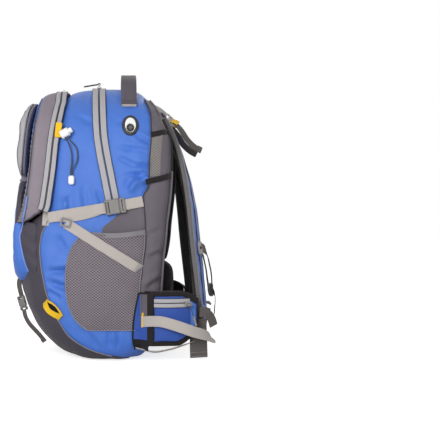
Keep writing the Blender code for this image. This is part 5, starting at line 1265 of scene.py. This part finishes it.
# ---------------------------------------------------------------- shoulder straps
STRAP_LINE = [(0.048, 0.0970, 0.463), (0.060, 0.118, 0.420), (0.074, 0.136, 0.359), (0.083, 0.147, 0.297),
              (0.088, 0.154, 0.230), (0.092, 0.160, 0.173), (0.096, 0.1655, 0.116), (0.099, 0.170, 0.066)]
STRAP_WIDTHS = (0.052, 0.058, 0.064, 0.066, 0.062, 0.056, 0.050, 0.040)
STRAP_TURN = (4, 8, 12, 15, 17, 18, 18, 16)
PAD = 0.012


def strap_frames(side, count=90):
    """Along the strap: centre, run, way across, outer normal, width."""
    knots = np.array(STRAP_LINE) * (side, 1, 1)
    line = smooth_line(knots, count)
    at = np.interp(line[:, 2][::-1], knots[::-1, 2], np.arange(8)[::-1])[::-1]
    wide = eased(np.arange(8), STRAP_WIDTHS, at)
    turn = np.radians(eased(np.arange(8), STRAP_TURN, at))
    up = xyz(side * np.sin(turn), np.cos(turn), 0)
    run, across, up = frames_of(line, up)
    return line, run, across, up, wide


LIFTER_RUN = unit((0, 0.72, -0.69))


def lifter_at(side):
    """Place and outward direction of the lock on the load lifter."""
    return np.array([side * STRAP_LINE[0][0], 0.1085, 0.4680]), unit((side * 0.55, 0.58, 0.60))


def lock_plate(name, seat, body, finishes="plastic"):
    long, wide = WEB * 1.2, WEB + 0.007
    holes = [[(x + long * d, y) for x, y in rounded(long * w, WEB + 0.001, 0.001, 2)]
             for w, d in ((0.17, 0.27), (0.17, -0.02), (0.13, -0.29))]
    outline = [(x + 0.001, y) for x, y in rounded(long + 0.002, wide, 0.003)]
    return plate(name, [outline] + holes, 0.0030, finishes, 0.0006, body, seat)


def make_strap(tag):
    side, body = SIDES[tag], "strap_" + tag
    line, run, across, up, wide = strap_frames(side)
    rows = len(line)
    along = np.linspace(0, 1, rows)
    swelling = 1 + 0.05 * np.sin(along * 37) * np.sin(along * 11)
    ends = np.minimum(1, 0.55 + np.minimum(along, 1 - along) * 14)
    profile = [(-0.5, -0.10), (-0.46, -0.42), (-0.36, -0.54), (-0.18, -0.60), (0, -0.56), (0.18, -0.60), (0.36, -0.54),
               (0.46, -0.42), (0.5, -0.10), (0.5, 0.12), (0.46, 0.38), (0.40, 0.47), (0.30, 0.56), (0.14, 0.50),
               (0, 0.46), (-0.14, 0.50), (-0.30, 0.56), (-0.40, 0.47), (-0.46, 0.38), (-0.5, 0.12)]
    padded = PAD * ends * swelling

    def on_pad(share, height):
        """The strap's line moved sideways by a share of its width and up by a height."""
        return line + across * (share * wide)[:, None] + up * height[:, None]

    rings = []
    for a, b in profile:
        dimple = 1 + 0.06 * np.sin(along * 62 + 3 * a) * (abs(a) < 0.45)
        rings.append(on_pad(a, b * padded * dimple))
    kinds = [1, 1, 2, 2, 2, 2, 1, 1, 1, 1, 1, 0, 0, 0, 0, 0, 0, 1, 1, 1]
    strap = skin("strap_pad_" + tag, np.stack(rings, 1), ["blue", "spacer", "foam"], body,
                 face_finish=np.array([kinds] * (rows - 1)))
    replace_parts(strap, "shoulder_strap_" + tag)
    for edge in (-1, 1):
        tube(f"strap_piping_{tag}_{edge + 1}", on_pad(edge * 0.435, 0.47 * padded), 0.0011, "piping", body)
        beads(f"strap_stitches_{tag}_{edge + 1}", on_pad(edge * 0.37, 0.545 * padded), up, 0.0040,
              (0.0030, 0.0007, 0.0007), "thread", body)
        tube(f"strap_binding_{tag}_{edge + 1}", on_pad(edge * 0.5, -0.30 * PAD * ends), 0.0013, "binding", body)
    tube("strap_rail_" + tag, on_pad(0, 0.50 * padded)[8:82], 0.0016, "darkthread", body)
    spot, lifter_up = lifter_at(side)
    # The lifter lock takes the paler grey moulding: painted highlight.
    lock_plate("lifter_lock_" + tag, seat_at(spot, LIFTER_RUN, lifter_up), body, "pale")
    hold = smooth_line([spot - LIFTER_RUN * 0.002 - lifter_up * 0.001, spot + LIFTER_RUN * 0.006 - lifter_up * 0.004,
                        spot + LIFTER_RUN * 0.012 - lifter_up * 0.011], 14)
    ribbon("lifter_hold_" + tag, hold, lifter_up, WEB * 0.95, "web", 0.0016, body)
    flag = smooth_line([spot + LIFTER_RUN * a + lifter_up * b
                        for a, b in ((0.0060, 0.0012), (0.0130, 0.0050), (0.0185, 0.0060))], 12)
    ribbon("lifter_flag_" + tag, flag, lifter_up, 0.0165, "yellow", 0.0022, body)
    tail = [spot + LIFTER_RUN * 0.0080 + np.array([0, 0.0008, 0.0016]), (side * 0.052, 0.128, 0.450),
            (side * 0.052, 0.144, 0.426), (side * 0.050, 0.160, 0.411), (side * 0.049, 0.171, 0.405)]
    tail = smooth_line(tail, 50)
    twist = xyz(side * (0.5 + 0.5 * np.sin(np.linspace(0, 2.4, 50))), 0.6, 0.6)
    ribbon("lifter_tail_" + tag, tail, twist, 0.0155, "darkweb", 0.0016, body, seed=side)
    ribbon("lifter_tail_end_" + tag, tail[-7:] + lifter_up * 0.0012, twist[-7:], 0.0160, "darkweb", 0.0022, body)
    low, normal, way = line[-1], up[-1], run[-1]
    tongue = smooth_line([low - way * 0.010 - normal * 0.001, low + way * 0.004 + normal * 0.0006,
                          low + way * 0.0165 + normal * 0.0042], 16)
    ribbon("lock_tongue_" + tag, tongue, normal, WEB * 0.9, "web", 0.0016, body)
    sx, sz = 0.050, 0.4925
    start = np.array([side * sx, float(main.back_at(sx, sz)) + 0.0022, sz])
    end = spot - LIFTER_RUN * 0.0100 + lifter_up * 0.0004
    taut = smooth_line([start, (start + end) / 2 + lifter_up * 0.0016, end], 30)
    web = ribbon("lifter_web_" + tag, taut, lifter_up, WEB, body=None)
    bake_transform(web)
    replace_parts(web, "load_lifter_" + tag)
    yoke_low = line[0] + run[0] * 0.004
    root = np.array([side * 0.046, float(main.back_at(0.046, 0.468)) + 0.0030, 0.470])
    yoke = ribbon("strap_yoke_" + tag, smooth_line([root, (root + yoke_low) / 2 + (0, 0.002, 0.002), yoke_low], 16),
                  up[0], 0.050, "grey", 0.0045, body=None)
    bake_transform(yoke)
    hinge = low + way * 0.0045 + normal * 0.0022
    last = hinge + way * 0.0130 + normal * 0.0022
    # The lower lock takes the paler grey moulding: painted highlight.
    dress(frame["nodes"]["lower_lock_" + tag], "pale", 0.0004)
    knots = [(0.1587, 0.0480, 0.0785), (0.1705, 0.0560, 0.0800), (0.1795, 0.0670, 0.0815), (0.190, 0.084, 0.082),
             (0.1955, 0.112, 0.075), (0.189, 0.142, 0.064), (0.168, 0.168, 0.054), (0.140, 0.1825, 0.044)]
    spread = [(1, -0.5, 0), (0.75, -0.65, 0), (0.8, -0.6, 0), (0.9, -0.35, 0), (1, 0.1, 0), (0.85, 0.5, 0),
              (0.45, 0.6, 0.55), (0.3, 0.65, 0.7), (side * normal[0], normal[1], normal[2] + 0.5)]
    knots = [(side * x, y, z) for x, y, z in knots] + [tuple(last)]
    lower_line = smooth_line(knots, 90)
    turns = smooth_line([(side * a, b, c) for a, b, c in spread], 90)
    web = ribbon("lower_web_cloth_" + tag, lower_line, turns, WEB, "web", seed=side, body=None)
    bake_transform(web)
    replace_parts(web, "lower_web_" + tag)
    thin = smooth_line([(side * 0.150, 0.040, 0.0285), (side * 0.166, 0.073, 0.0240), (side * 0.162, 0.106, 0.0290),
                        (side * 0.150, 0.137, 0.0370), tuple(last + np.array([0, 0.002, 0.002]))], 60)
    thin_web = ribbon("loose_web_" + tag, thin, (side * 0.5, 0, -1), 0.0090, "web", 0.0014, seed=2 + side, body=None)
    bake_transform(thin_web)


def make_sternum():
    middle = np.array([-0.006, 0.1955, 0.126])
    for tag, side in SIDES.items():
        body = "sternum_" + tag
        line, run, across, up, wide = strap_frames(side)
        k = int(round(9 / 14 * 89))
        point, way, normal = line[k], run[k], up[k]
        inward = across[k] * (1 if across[k][0] * side < 0 else -1)
        face = point + normal * (PAD / 2)
        reach_x = STERNUM_WEB * SOCKET_LONG * SOCKET_BAR if side > 0 else -(CLIP_STEP + STERNUM_WEB * 0.25)
        end = middle + np.array([reach_x, -UNDER_BAR, 0])
        entry = end + np.array([side * 0.009, 0, 0])
        knots = [face + normal * 0.0034 + inward * 0.004, face + normal * 0.0040 + inward * 0.018,
                 face + normal * 0.0052 + inward * 0.034 + way * 0.004, entry + np.array([side * 0.018, 0.0005, 0.012]),
                 entry, end]
        web = ribbon("sternum_web_cloth_" + tag, smooth_line(knots, 60), (0, 1, 0), STERNUM_WEB, "darkweb", body=body)
        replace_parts(web, "sternum_web_" + tag)
        slider = seat_at(face + normal * 0.0036, way, normal)
        plate("sternum_slide_" + tag, [rounded(0.026, 0.024, 0.004), rounded(0.005, 0.0185, 0.001)], 0.0042, "plastic",
              0.0008, body, slider)
        if side > 0:
            drop = smooth_line([end + (0.002, 0.004, 0), end + (0.012, 0.0075, -0.006), end + (0.016, 0.008, -0.026),
                                end + (0.013, 0.0065, -0.046)], 30)
            ribbon("sternum_tail", drop, (0.1, 1, 0.1), STERNUM_WEB * 0.9, "darkweb", body=body, seed=4)
    for name in ("sternum_buckle", "sternum_clip"):
        dress(frame["nodes"][name], "plastic", 0.0004)


# ---------------------------------------------------------------- back pads and hip belt
# Back pads: lowest, highest, half width; and the channels pressed into each.
UPPER_PAD, LUMBAR_PAD = (0.186, 0.395, 0.088), (0.035, 0.186, 0.104)
UPPER_CHANNELS, LUMBAR_CHANNELS = (-0.030, 0.030), (-0.046, 0.0, 0.046)


def make_back_pad():
    def pad(name, low, high, half, thick, channels):
        z = np.linspace(low, high, 60)[:, None]
        t = np.linspace(0, 1, 60)[:, None]
        end = np.sqrt(np.clip(1 - np.abs(2 * t - 1)**6, 0, 1))
        x = np.linspace(-1, 1, 44)[None] * half * (0.90 + 0.10 * end)
        crown = (1 - np.abs(x / half)**5)**0.5 * end
        groove = sum(np.exp(-((x - c) / 0.0045)**2) for c in channels)
        deep = thick * crown * (1 - 0.42 * groove) + 0.0012
        back = main.back_at(x, z) + 0.0030
        return skin(name, np.concatenate([xyz(x, back + deep, z), xyz(x, back, z)[:, ::-1]], 1), "foam")

    upper = pad("back_pad_upper", *UPPER_PAD, 0.0085, UPPER_CHANNELS)
    lumbar = pad("lumbar_pad", *LUMBAR_PAD, 0.0225, LUMBAR_CHANNELS)
    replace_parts(lumbar, "back_pad")
    for piece, (low, high, wide) in ((upper, UPPER_PAD), (lumbar, LUMBAR_PAD)):
        def held(points, low=low, high=high, wide=wide):
            x, z = np.abs(points[:, 0]), points[:, 2]
            near = np.minimum(wide - x, np.minimum(z - low, high - z))
            on_back = points[:, 1] < main.back_at(np.minimum(x, wide), z) + 0.006
            off = np.min([np.abs(points[:, 0] - c) for c in UPPER_CHANNELS + LUMBAR_CHANNELS], axis=0)
            return np.where(on_back | (near < 0.006) | (off < 0.004), 1.0, 0.15)
        puffed(piece, held, pressure=3.0, cap=0.004)
        t = np.linspace(0, 2 * math.pi, 120)
        z = (low + high) / 2 + (high - low) / 2 * 0.985 * np.clip(np.sin(t) * 1.25, -1, 1)
        x = wide * 0.985 * np.clip(np.cos(t) * 1.25, -1, 1)
        rim = xyz(x, main.back_at(x, z) + 0.0032, z)
        tube(piece.name + "_binding", rim[:-1], 0.0016, "binding", cyclic=True)


WING_SEAM, WING_LENGTH, WING_START, WING_ROOT = (0.1655, 0.064), 0.086, 0.003, 0.0575
HIP_ZIP_Z = 0.1145


def wing_middle(share):
    """Middle of the hip wing's thickness and its y, a share of the way to its tip."""
    return WING_SEAM[0] - 0.016 * share**2, WING_SEAM[1] + WING_START + WING_LENGTH * share


def wing_span(share):
    """Lowest and highest point of the hip wing there."""
    tip = np.maximum(0.0, share - 0.55) / 0.45
    return 0.036 + 0.030 * tip**1.6, 0.134 - 0.014 * tip**2.5


def wing_rings(side, shares, inner, outer, trim=0.0, around=28):
    rings = []
    for share in shares:
        low, high = wing_span(share)
        low, high = low + trim, high - trim
        x, y = wing_middle(share)
        c, s = np.cos(circle(around)), np.sin(circle(around))
        r = (np.abs(c)**6 + np.abs(s)**6)**(-1 / 6)
        out = outer(share) if callable(outer) else outer
        rings.append(xyz(side * (x + (inner + out) / 2 + (out - inner) / 2 * r * c), y,
                         (low + high) / 2 + (high - low) / 2 * r * s))
    return rings


def make_hip_root(tag):
    """Padded root of the hip belt, sewn over the lower rear corner of the side."""
    side = SIDES[tag]
    rows, columns = 60, 26
    z = np.linspace(0.0255, 0.1318, rows)[:, None]
    edge = eased([0.0253, 0.048, 0.0781, 0.1049, 0.1318], [0.0372, 0.0331, 0.0344, 0.0385, 0.0442], z)
    share = np.linspace(0, 1, columns)[None]
    y, z = np.broadcast_arrays(edge + (0.0610 - edge) * share, z)
    under = main.side(y, z) + mesh_cover(y, z)
    outer = WING_SEAM[0] + 0.0068
    x = under + 0.0010 + 0.0024 * np.sin(math.pi / 2 * np.minimum(1, share * 4))
    x = x * (1 - smooth_step(0.25, 1.0, share)) + np.maximum(x, outer) * smooth_step(0.25, 1.0, share)
    points = xyz(side * x, y, z)
    kinds = np.zeros((rows - 1, columns - 1), int)
    middle_z, middle_y = z[:-1, :-1], y[:-1, :-1]
    kinds[(middle_z > 0.088) & (middle_y > 0.0465)] = 1
    kinds[middle_z < 0.045] = 2
    cloth("hip_root_" + tag, points, ["blue_dark", "grey", "binding"], 0.0030, face_finish=kinds,
          outward=np.array([side, 0, 0]))
    for name, line in (("rear", points[:, 0]), ("top", points[-1])):
        tube(f"hip_root_{name}_{tag}", line + (side * 0.0004, 0, 0), 0.0017, "binding")
    tag_line = points[24:40, 15] + (side * 0.0008, 0, 0)
    ribbon("hip_tag_" + tag, tag_line, (side, 0, 0), 0.0032, "yellow", 0.0012, wave=0)


def hip_depth(share):
    """Outer face of the hip pocket over the wing's middle there."""
    return 0.0064 + 0.003 + 0.007 * math.sin(math.pi * min(1.0, max(0.0, (share + 0.01) / 0.95)))


def make_wing(tag):
    side, body = SIDES[tag], "wing_" + tag
    rings = wing_rings(side, np.linspace(0, 1, 40), -0.0036, 0.0056)
    inner = max(float(main.side(WING_ROOT, z)) for z in np.linspace(0.04, 0.13, 8)) + 0.0022
    root = rings[0].copy()
    root[:, 1] = WING_ROOT + 0.0006
    root[:, 0] = side * (inner + np.where(np.abs(rings[0][:, 0]) > WING_SEAM[0] + 0.001, 0.0048, 0.0002))
    tip = rings[-1].copy()
    tip[:, 1] += 0.0015
    tip = tip.mean(0) + (tip - tip.mean(0)) * (0.8, 1, 0.93)
    wing = skin("wing_pad_" + tag, np.array([root] + rings + [tip]), "blue", body)
    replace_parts(wing, "hip_wing_" + tag)
    wing.parent = None

    def held(points):
        low, high = wing_span(np.clip((points[:, 1] - WING_SEAM[1] - WING_START) / WING_LENGTH, 0, 1))
        near = np.minimum(points[:, 2] - low, high - points[:, 2])
        far = WING_SEAM[1] + WING_START + WING_LENGTH - points[:, 1]
        return np.where((near < 0.006) | (points[:, 1] < 0.066) | (far < 0.006), 1.0, 0.1)

    puffed(wing, held, pressure=2.5, cap=0.0022)
    repaint(wing, ["blue", "foam"], lambda c, n: 1 if n.x * side < -0.35 else 0)
    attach(wing, body)
    shares = np.linspace(0, 1, 40)
    low, high = wing_span(shares)
    x, y = wing_middle(shares)
    for key, z, up, binding, fold, trim in (("top", high, 1.0, 0.0125, -0.0050, 0.0105),
                                            ("low", low, -1.0, 0.0115, 0.0036, 0.0075)):
        edge = xyz(side * (x + 0.001), y, z + up * 0.0004)
        edge = np.concatenate([[edge[0] - (side * 0.006, 0.0090, 0)], edge])
        ribbon(f"wing_binding_{key}_{tag}", edge - (0, 0, up * 0.0012), (0, 0, up), binding, "binding", 0.0026, body,
               wave=0.0001)
        ribbon(f"wing_trim_{key}_{tag}", edge[1:] + (side * 0.0052, 0, fold), (side, 0, 0), trim, "binding", 0.0014,
               body, wave=0)
    end = xyz(side * (x[-1] + 0.001), y[-1] + 0.0006, np.linspace(low[-1], high[-1], 20))
    ribbon("wing_binding_tip_" + tag, end, (0, 1, 0), 0.0125, "binding", 0.0022, body, wave=0)
    strip = xyz(side * (WING_SEAM[0] + 0.0086), 0.0655, np.linspace(0.036, 0.132, 24))
    ribbon("wing_band_" + tag, strip, (side, 0, 0), 0.0125, "binding", 0.0014, body, wave=0.0004)
    if tag == "r":
        make_hip_pocket()
    else:
        quilting(side, body)


def quilting(side, body):
    """Two stitched lines down the plain wing."""
    for k, share in enumerate((0.35, 0.62)):
        x, y = wing_middle(share)
        low, high = wing_span(share)
        line = xyz(side * (x + 0.0072), y, np.linspace(low + 0.010, high - 0.010, 20))
        beads(f"wing_quilting_{k}", line, (side, 0, 0), 0.0036, (0.0028, 0.0007, 0.0006), "darkthread", body)


def make_hip_pocket():
    body = "wing_r"
    shares = np.linspace(0.05, 0.86, 40)
    bag = skin("hip_pocket_cloth", np.array(wing_rings(1, shares, 0.0058, hip_depth, 0.007)), "blue_dark", body)
    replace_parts(bag, "hip_pocket")
    bag.parent = None

    def held(points):
        return np.where((points[:, 0] < 0.1725) | (np.abs(points[:, 2] - HIP_ZIP_Z) < 0.010), 1.0, 0.12)

    puffed(bag, held, pressure=4.0, cap=0.0028, voxel=0.0045)
    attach(bag, body)
    line = []
    for share in np.linspace(0.06, 0.83, 50):
        x, y = wing_middle(share)
        line.append((x + hip_depth(share) + 0.0004, y, HIP_ZIP_Z))
    line = np.array(line)
    # Beside each tape, a dark tube on its outer edge: painted shadow of the tape's fold.
    for k, rise in ((0, 0.0044), (1, -0.0044)):
        ribbon(f"hip_zip_tape_{k}", line + (0, 0, rise), (1, 0.1, 0), 0.0070, "tape", 0.0010, body, wave=0.0001)
        tube(f"hip_zip_fold_{k}", line + (0.0007, 0, rise * 1.86), 0.0007, "darkthread", body)
    beads("hip_zip_coil", line, (1, 0, 0), TOOTH_PITCH, (0.0013, 0.0030, 0.0018), "coil", body, lift=0.0008)
    low, high = frame_box("slider_hip")
    start = ((low[0] + high[0]) / 2 + 0.004, (low[1] + high[1]) / 2 + 0.002 - DY, (low[2] + high[2]) / 2 - 0.003)
    cord_pull("hip_pull", start, (0.16, 0.30, -0.92), 0.034, "hip_slider")


def frame_box(name):
    low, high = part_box(name)
    return np.array(low), np.array(high)


HIP_LINES = {
    "r": [(0.1430, 0.1560, 0.0820), (0.1430, 0.1562, 0.0640), (0.1425, 0.1570, 0.0420), (0.1410, 0.1575, 0.0240),
          (0.1400, 0.1580, 0.0090)],
    "l": [(0.1500, 0.1540, 0.0850), (0.1495, 0.1600, 0.0850), (0.1485, 0.1680, 0.0840), (0.1470, 0.1760, 0.0815)],
}


def make_hip_web(tag):
    side, body = SIDES[tag], "wing_" + tag
    line = smooth_line([(side * x, y, z) for x, y, z in HIP_LINES[tag]], 60)
    turn = 0.2 if tag == "l" else 0.0
    normals = xyz(side * 0.9, 0.1 + turn * np.linspace(0, 1, 60), 0)
    web = ribbon("hip_web_cloth_" + tag, line, normals, HIP_WEB, "darkweb", seed=side, body=body)
    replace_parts(web, "hip_web_" + tag)
    if tag == "l":
        run = unit(line[-1] - line[-2])
        new = seat_at(line[-1] + run * 0.014, -run, normals[-1])
        copied("hip_clip_moulding", "compression_clip_r", COMPRESSION_SEAT, new, 0.0304 / WEB, body)
    else:
        ribbon("hip_web_hem", line[-8:] + (0.0014, 0, 0), normals[-8:], HIP_WEB, "darkweb", 0.0018, body, wave=0)
        run, across, up = frames_of(line, normals)
        for k, rise in ((-9, 0.0018), (-3, 0.0034)):
            row = np.stack([line[k] + across[k] * a + (rise, 0, 0) for a in np.linspace(-0.015, 0.015, 14)])
            beads(f"hip_web_stitches_{k + 9}", row, (1, 0, 0), 0.0026, (0.0020, 0.0006, 0.0005), "thread", body)
        loop = smooth_line([(0.150, 0.158, 0.096), (0.146, 0.170, 0.094), (0.1400, 0.180, 0.084),
                            (0.1385, 0.186, 0.068)], 30)
        ribbon("hip_belt_keeper", loop, (0.8, 0.5, 0.2), 0.020, "darkweb", 0.0016, body, seed=6)


def compression_seat():
    """Where the frame's right compression buckle sits, for pieces copied from it."""
    back, front, half = (float(np.interp(BUCKLE_MOUTH[1], [r[0] for r in MAIN], [r[k] for r in MAIN]))
                         for k in (1, 2, 3))
    share = abs((BUCKLE_MOUTH[0] - (back + front) / 2) / ((back - front) / 2))
    x = half * (1 - share**8)**(1 / 8) + MOUTH_OUT
    return seat_at((x, *BUCKLE_MOUTH), COMPRESSION_RUN, (1, 0, 0))


COMPRESSION_SEAT = compression_seat()


# ---------------------------------------------------------------- straps and loops at the base
MAT_X, MAT_MOUTH = 0.080, (-0.1790, 0.1000)
MAT_RUN = unit((0, 0.28, -1))


def make_mat_strap(tag):
    x = SIDES[tag] * MAT_X
    mat_up = unit((SIDES[tag] * 0.75, -0.85, -0.238))
    mouth = np.array([x, *MAT_MOUTH])
    end = mouth - MAT_RUN * (MAT_WEB * SOCKET_LONG * SOCKET_BAR) - mat_up * UNDER_BAR
    start = np.array([x, float(main.front_at(MAT_X, 0.148)) - 0.0045, 0.150])
    line = smooth_line([start + (0, 0.003, 0.006), start, end - MAT_RUN * 0.012, end], 30)
    web = ribbon("mat_web_" + tag, line, mat_up, MAT_WEB, "darkweb")
    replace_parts(web, "mat_strap_" + tag)
    new = seat_at(mouth, MAT_RUN, mat_up)
    copied("mat_buckle_" + tag, "compression_buckle_r", COMPRESSION_SEAT, new, MAT_WEB / WEB, "pack")
    clip = copied("mat_clip_moulding_" + tag, "compression_clip_r", COMPRESSION_SEAT, new, MAT_WEB / WEB,
                  "mat_clip_" + tag)
    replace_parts(clip, "mat_clip_" + tag)
    first = mouth + MAT_RUN * (CLIP_STEP + MAT_WEB * 0.45)
    tail = smooth_line([first] + [(x, y, z) for y, z in ((-0.1745, 0.0800), (-0.1690, 0.0690), (-0.1580, 0.0560),
                                                         (-0.1450, 0.0420), (-0.1360, 0.0310))], 50)
    ribbon("mat_tail_" + tag, tail, mat_up, MAT_WEB * 0.9, "darkweb", 0.0014, "mat_clip_" + tag, seed=1)
    ribbon("mat_tail_hem_" + tag, tail[-6:] + mat_up * 0.0013, mat_up, MAT_WEB * 0.92, "darkweb", 0.0018,
           "mat_clip_" + tag, wave=0)


def make_gear_loop(tag):
    side = SIDES[tag]
    spot, out = on_side(side, -0.115, 0.1005, 0.0010)
    run = unit(np.array([0, 0.75, -0.62]))
    run = unit(run - out * (run @ out))
    up = np.cross(out, run) * side
    knots = [(-0.0200, 0.0012, 0.0), (-0.0130, 0.0090, -0.0012), (-0.002, 0.0120, -0.0022), (0.0095, 0.0085, -0.0010),
             (0.0200, 0.0014, 0.0)]
    line = smooth_line([spot + run * a + out * b + up * c for a, b, c in knots], 40)
    normal = np.stack([out + run * t for t in np.linspace(-0.9, 0.9, 40)])
    wide = 0.0105 + 0.0035 * np.abs(np.linspace(-1, 1, 40))**1.5
    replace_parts(ribbon("gear_loop_web_" + tag, line, normal, 0.0120, "yellow", 0.0020, seed=side, wave=0.0003,
                       widths=wide), "gear_loop_" + tag)
    for k, a in enumerate((-0.0175, 0.0175)):
        row = np.stack([spot + run * a + out * 0.0040 + up * b for b in np.linspace(-0.006, 0.006, 7)])
        beads(f"gear_stitches_{tag}_{k}", row, out, 0.0022, (0.0018, 0.0007, 0.0007), "thread")
    # A black binding strip laid inside the loop: painted shadow in the loop's opening; the yellow strip is the loop's
    # own patch.
    for name, shift, wide, finishes, rise in (("patch", 0.0040, 0.0120, "yellow", 0.0014),
                                              ("gap_shadow", 0.0030, 0.0085, "binding", 0.0024)):
        share = np.linspace(-1, 1, 24)
        inner = np.stack([spot + run * (a * 0.0195) + out * rise + up * shift * (1 - a * a) for a in share])
        ribbon(f"gear_{name}_{tag}", inner, out, wide, finishes, 0.0014, wave=0,
               widths=wide * (1 - share**2 * (0 if name == "patch" else 0.9)) + 0.001)


# ---------------------------------------------------------------- tool keepers
KEEPERS = {
    "r": {"tab": (-0.0975, 0.4350), "lock": (-0.0905, 0.4270), "end": (-0.0812, 0.3420),
          "near": [(-0.0868, 0.4130), (-0.0815, 0.3960), (-0.0805, 0.3760), (-0.0832, 0.3510)],
          "far": [(-0.0810, 0.4160), (-0.0715, 0.4010), (-0.0710, 0.3780), (-0.0792, 0.3510)]},
    "l": {"tab": (-0.1020, 0.3720), "lock": (-0.1005, 0.3540), "end": (-0.0970, 0.2980),
          "near": [(-0.1035, 0.3400), (-0.1050, 0.3300), (-0.1035, 0.3190), (-0.0990, 0.3070)],
          "far": [(-0.0970, 0.3400), (-0.0955, 0.3300), (-0.0945, 0.3190), (-0.0950, 0.3070)]},
}


def make_keeper(tag):
    side, spot = SIDES[tag], KEEPERS[tag]
    low, high = frame_box("cord_lock_" + tag)
    centre = (low + high) / 2 - (0, DY, 0)
    end_low, end_high = frame_box("cord_end_" + tag)
    end_top = np.array([(end_low[0] + end_high[0]) / 2, (end_low[1] + end_high[1]) / 2 - DY, end_high[2] - 0.004])
    _, out = on_side(side, *spot["lock"])
    middle = np.mean([spot["near"][0], spot["far"][0]], axis=0)
    down = unit(np.array([0, middle[0] - spot["lock"][0], middle[1] - spot["lock"][1]]))
    down = unit(down - out * (down @ out))
    button = np.cross(down, out)
    button = button if button[1] > 0 else -button
    tops = []
    for row, shift in (("near", -0.0023), ("far", 0.0023)):
        start = centre + button * shift + down * 0.0075
        loose = [on_side(side, y, z, 0.0056, fold=False)[0] for y, z in spot[row][1:-1]]
        foot = end_top + np.array([0, -0.0013 if row == "near" else 0.0013, 0])
        line = smooth_line([start, start + down * 0.0050] + loose + [foot + (0, 0, 0.012), foot], 30)
        strand = tube(f"keeper_cord_{row}_{tag}", line, CORD / 2, "cord", sides=3)
        inside = centre + button * shift
        tops += [inside + down * 0.0070, inside, inside - down * 0.0095]
    tab, tab_out = on_side(side, spot["tab"][0] - 0.0052, spot["tab"][1] + 0.0008, 0.0042, fold=False)
    tab[0] = side * max(abs(tab[0]), float(np.interp(tab[2], main.z, main.half)) + 0.0042)
    tab_out = unit(tab_out * 0.4 + (side, 0, 0))
    dip = (tops[2] + tops[5]) / 2 - down * 0.0050 - out * 0.0080
    turn = smooth_line([tops[0], tops[1], tops[2], tops[2] - down * 0.0036 - out * 0.0062, dip,
                        tops[5] - down * 0.0036 - out * 0.0062, tops[5], tops[4], tops[3]], 60)
    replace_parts(tube("keeper_turn_" + tag, turn, CORD / 2, "cord", sides=3), "bungee_cord_" + tag)
    for name in ("cord_lock_", "cord_button_", "cord_end_"):
        dress(frame["nodes"][name + tag], "white", 0.0004)
    rise = np.linspace(-0.0135, 0.0135, 12)
    sewn = ribbon("keeper_tab_" + tag, tab + xyz(0, 0.1 * rise, rise), tab_out, 0.0125, "yellow", 0.0026)
    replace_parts(sewn, "bungee_tab_" + tag)


# ---------------------------------------------------------------- floor, light and camera
PHOTO_WIDE, PACK_MIDDLE = 440, 115           # the photo's width and the left picture's middle, in its pixels
CAMERA_FAR, CAMERA_HIGH, SEEN_HALF = 1.8, 0.268, 0.45
# Area lights: name, place, aim, size, power.
LAMPS = (("key", (2.5, -0.85, 1.0), (0, 0, 0.28), 0.9, 45), ("fill", (2.1, 1.3, 0.6), (0, 0.05, 0.25), 1.6, 6),
         ("rear", (-1.6, 0.9, 1.6), (0, 0, 0.3), 1.4, 9))


def glow(tree):
    """Pale background for the camera, and for gloss and glass, with plain light for everything else."""
    path = node(tree, "ShaderNodeLightPath")
    return maths(tree, "MAXIMUM", path.outputs["Is Camera Ray"], maths(
        tree, "MAXIMUM", path.outputs["Is Glossy Ray"], path.outputs["Is Transmission Ray"]))


def make_studio():
    world_data = bpy.data.worlds.new("studio")
    bpy.context.scene.world = world_data
    world_data.use_nodes = True
    tree = world_data.node_tree
    tree.nodes.clear()
    seen = glow(tree)
    plain = node(tree, "ShaderNodeBackground", Color=(1, 1, 1, 1), Strength=0.34)
    bright = node(tree, "ShaderNodeBackground", Color=(1, 1, 1, 1), Strength=1.0)
    mix = node(tree, "ShaderNodeMixShader", i0=seen, i1=plain.outputs[0], i2=bright.outputs[0])
    node(tree, "ShaderNodeOutputWorld", Surface=mix.outputs[0])
    bpy.ops.mesh.primitive_plane_add(size=1)
    floor = bpy.context.object
    floor.name = "studio_floor"
    floor.scale = (14, 14, 1)
    floor.location = (0, 0, -0.0006)
    material = bpy.data.materials.new("floor_paper")
    material.use_nodes = True
    tree = material.node_tree
    shader = tree.nodes["Principled BSDF"]
    shader.inputs["Base Color"].default_value = (0.93, 0.93, 0.93, 1)
    shader.inputs["Roughness"].default_value = 0.9
    shader.inputs["Specular IOR Level"].default_value = 0.1
    shader.inputs["Emission Color"].default_value = (1, 1, 1, 1)
    path = node(tree, "ShaderNodeLightPath")
    tree.links.new(maths(tree, "MULTIPLY", path.outputs["Is Camera Ray"], 0.70), shader.inputs["Emission Strength"])
    floor.data.materials.append(material)
    for name, place, aim, size, power in LAMPS:
        lamp = bpy.data.lights.new(name, "AREA")
        lamp.size, lamp.energy = size, power
        obj = added("lamp_" + name, lamp)
        obj.location = place
        obj.rotation_euler = (Vector(aim) - Vector(place)).to_track_quat("-Z", "Y").to_euler()
    camera = bpy.data.cameras.new("camera")
    camera.sensor_width = 36.0
    camera.angle = 2 * math.atan(SEEN_HALF / CAMERA_FAR)
    camera.clip_end = 60
    camera.shift_x = (PHOTO_WIDE / 2 - PACK_MIDDLE) / PHOTO_WIDE
    obj = added("camera", camera)
    obj.location = (CAMERA_FAR, DY, CAMERA_HIGH)
    obj.rotation_euler = (math.pi / 2, 0, math.pi / 2)
    bpy.context.scene.camera = obj
    bpy.context.scene.view_settings.view_transform = "Standard"


# ---------------------------------------------------------------- build
make_shell()
make_back_panel()
make_gusset()
make_zippers()
make_organizer()
make_pockets()
make_crown()
make_port()
make_sternum()
make_back_pad()
for each in SIDES:
    make_mesh_pocket(each)
    make_compression(each)
    make_strap(each)
    make_wing(each)
    make_hip_root(each)
    make_hip_web(each)
    make_mat_strap(each)
    make_gear_loop(each)
    make_keeper(each)
make_studio()
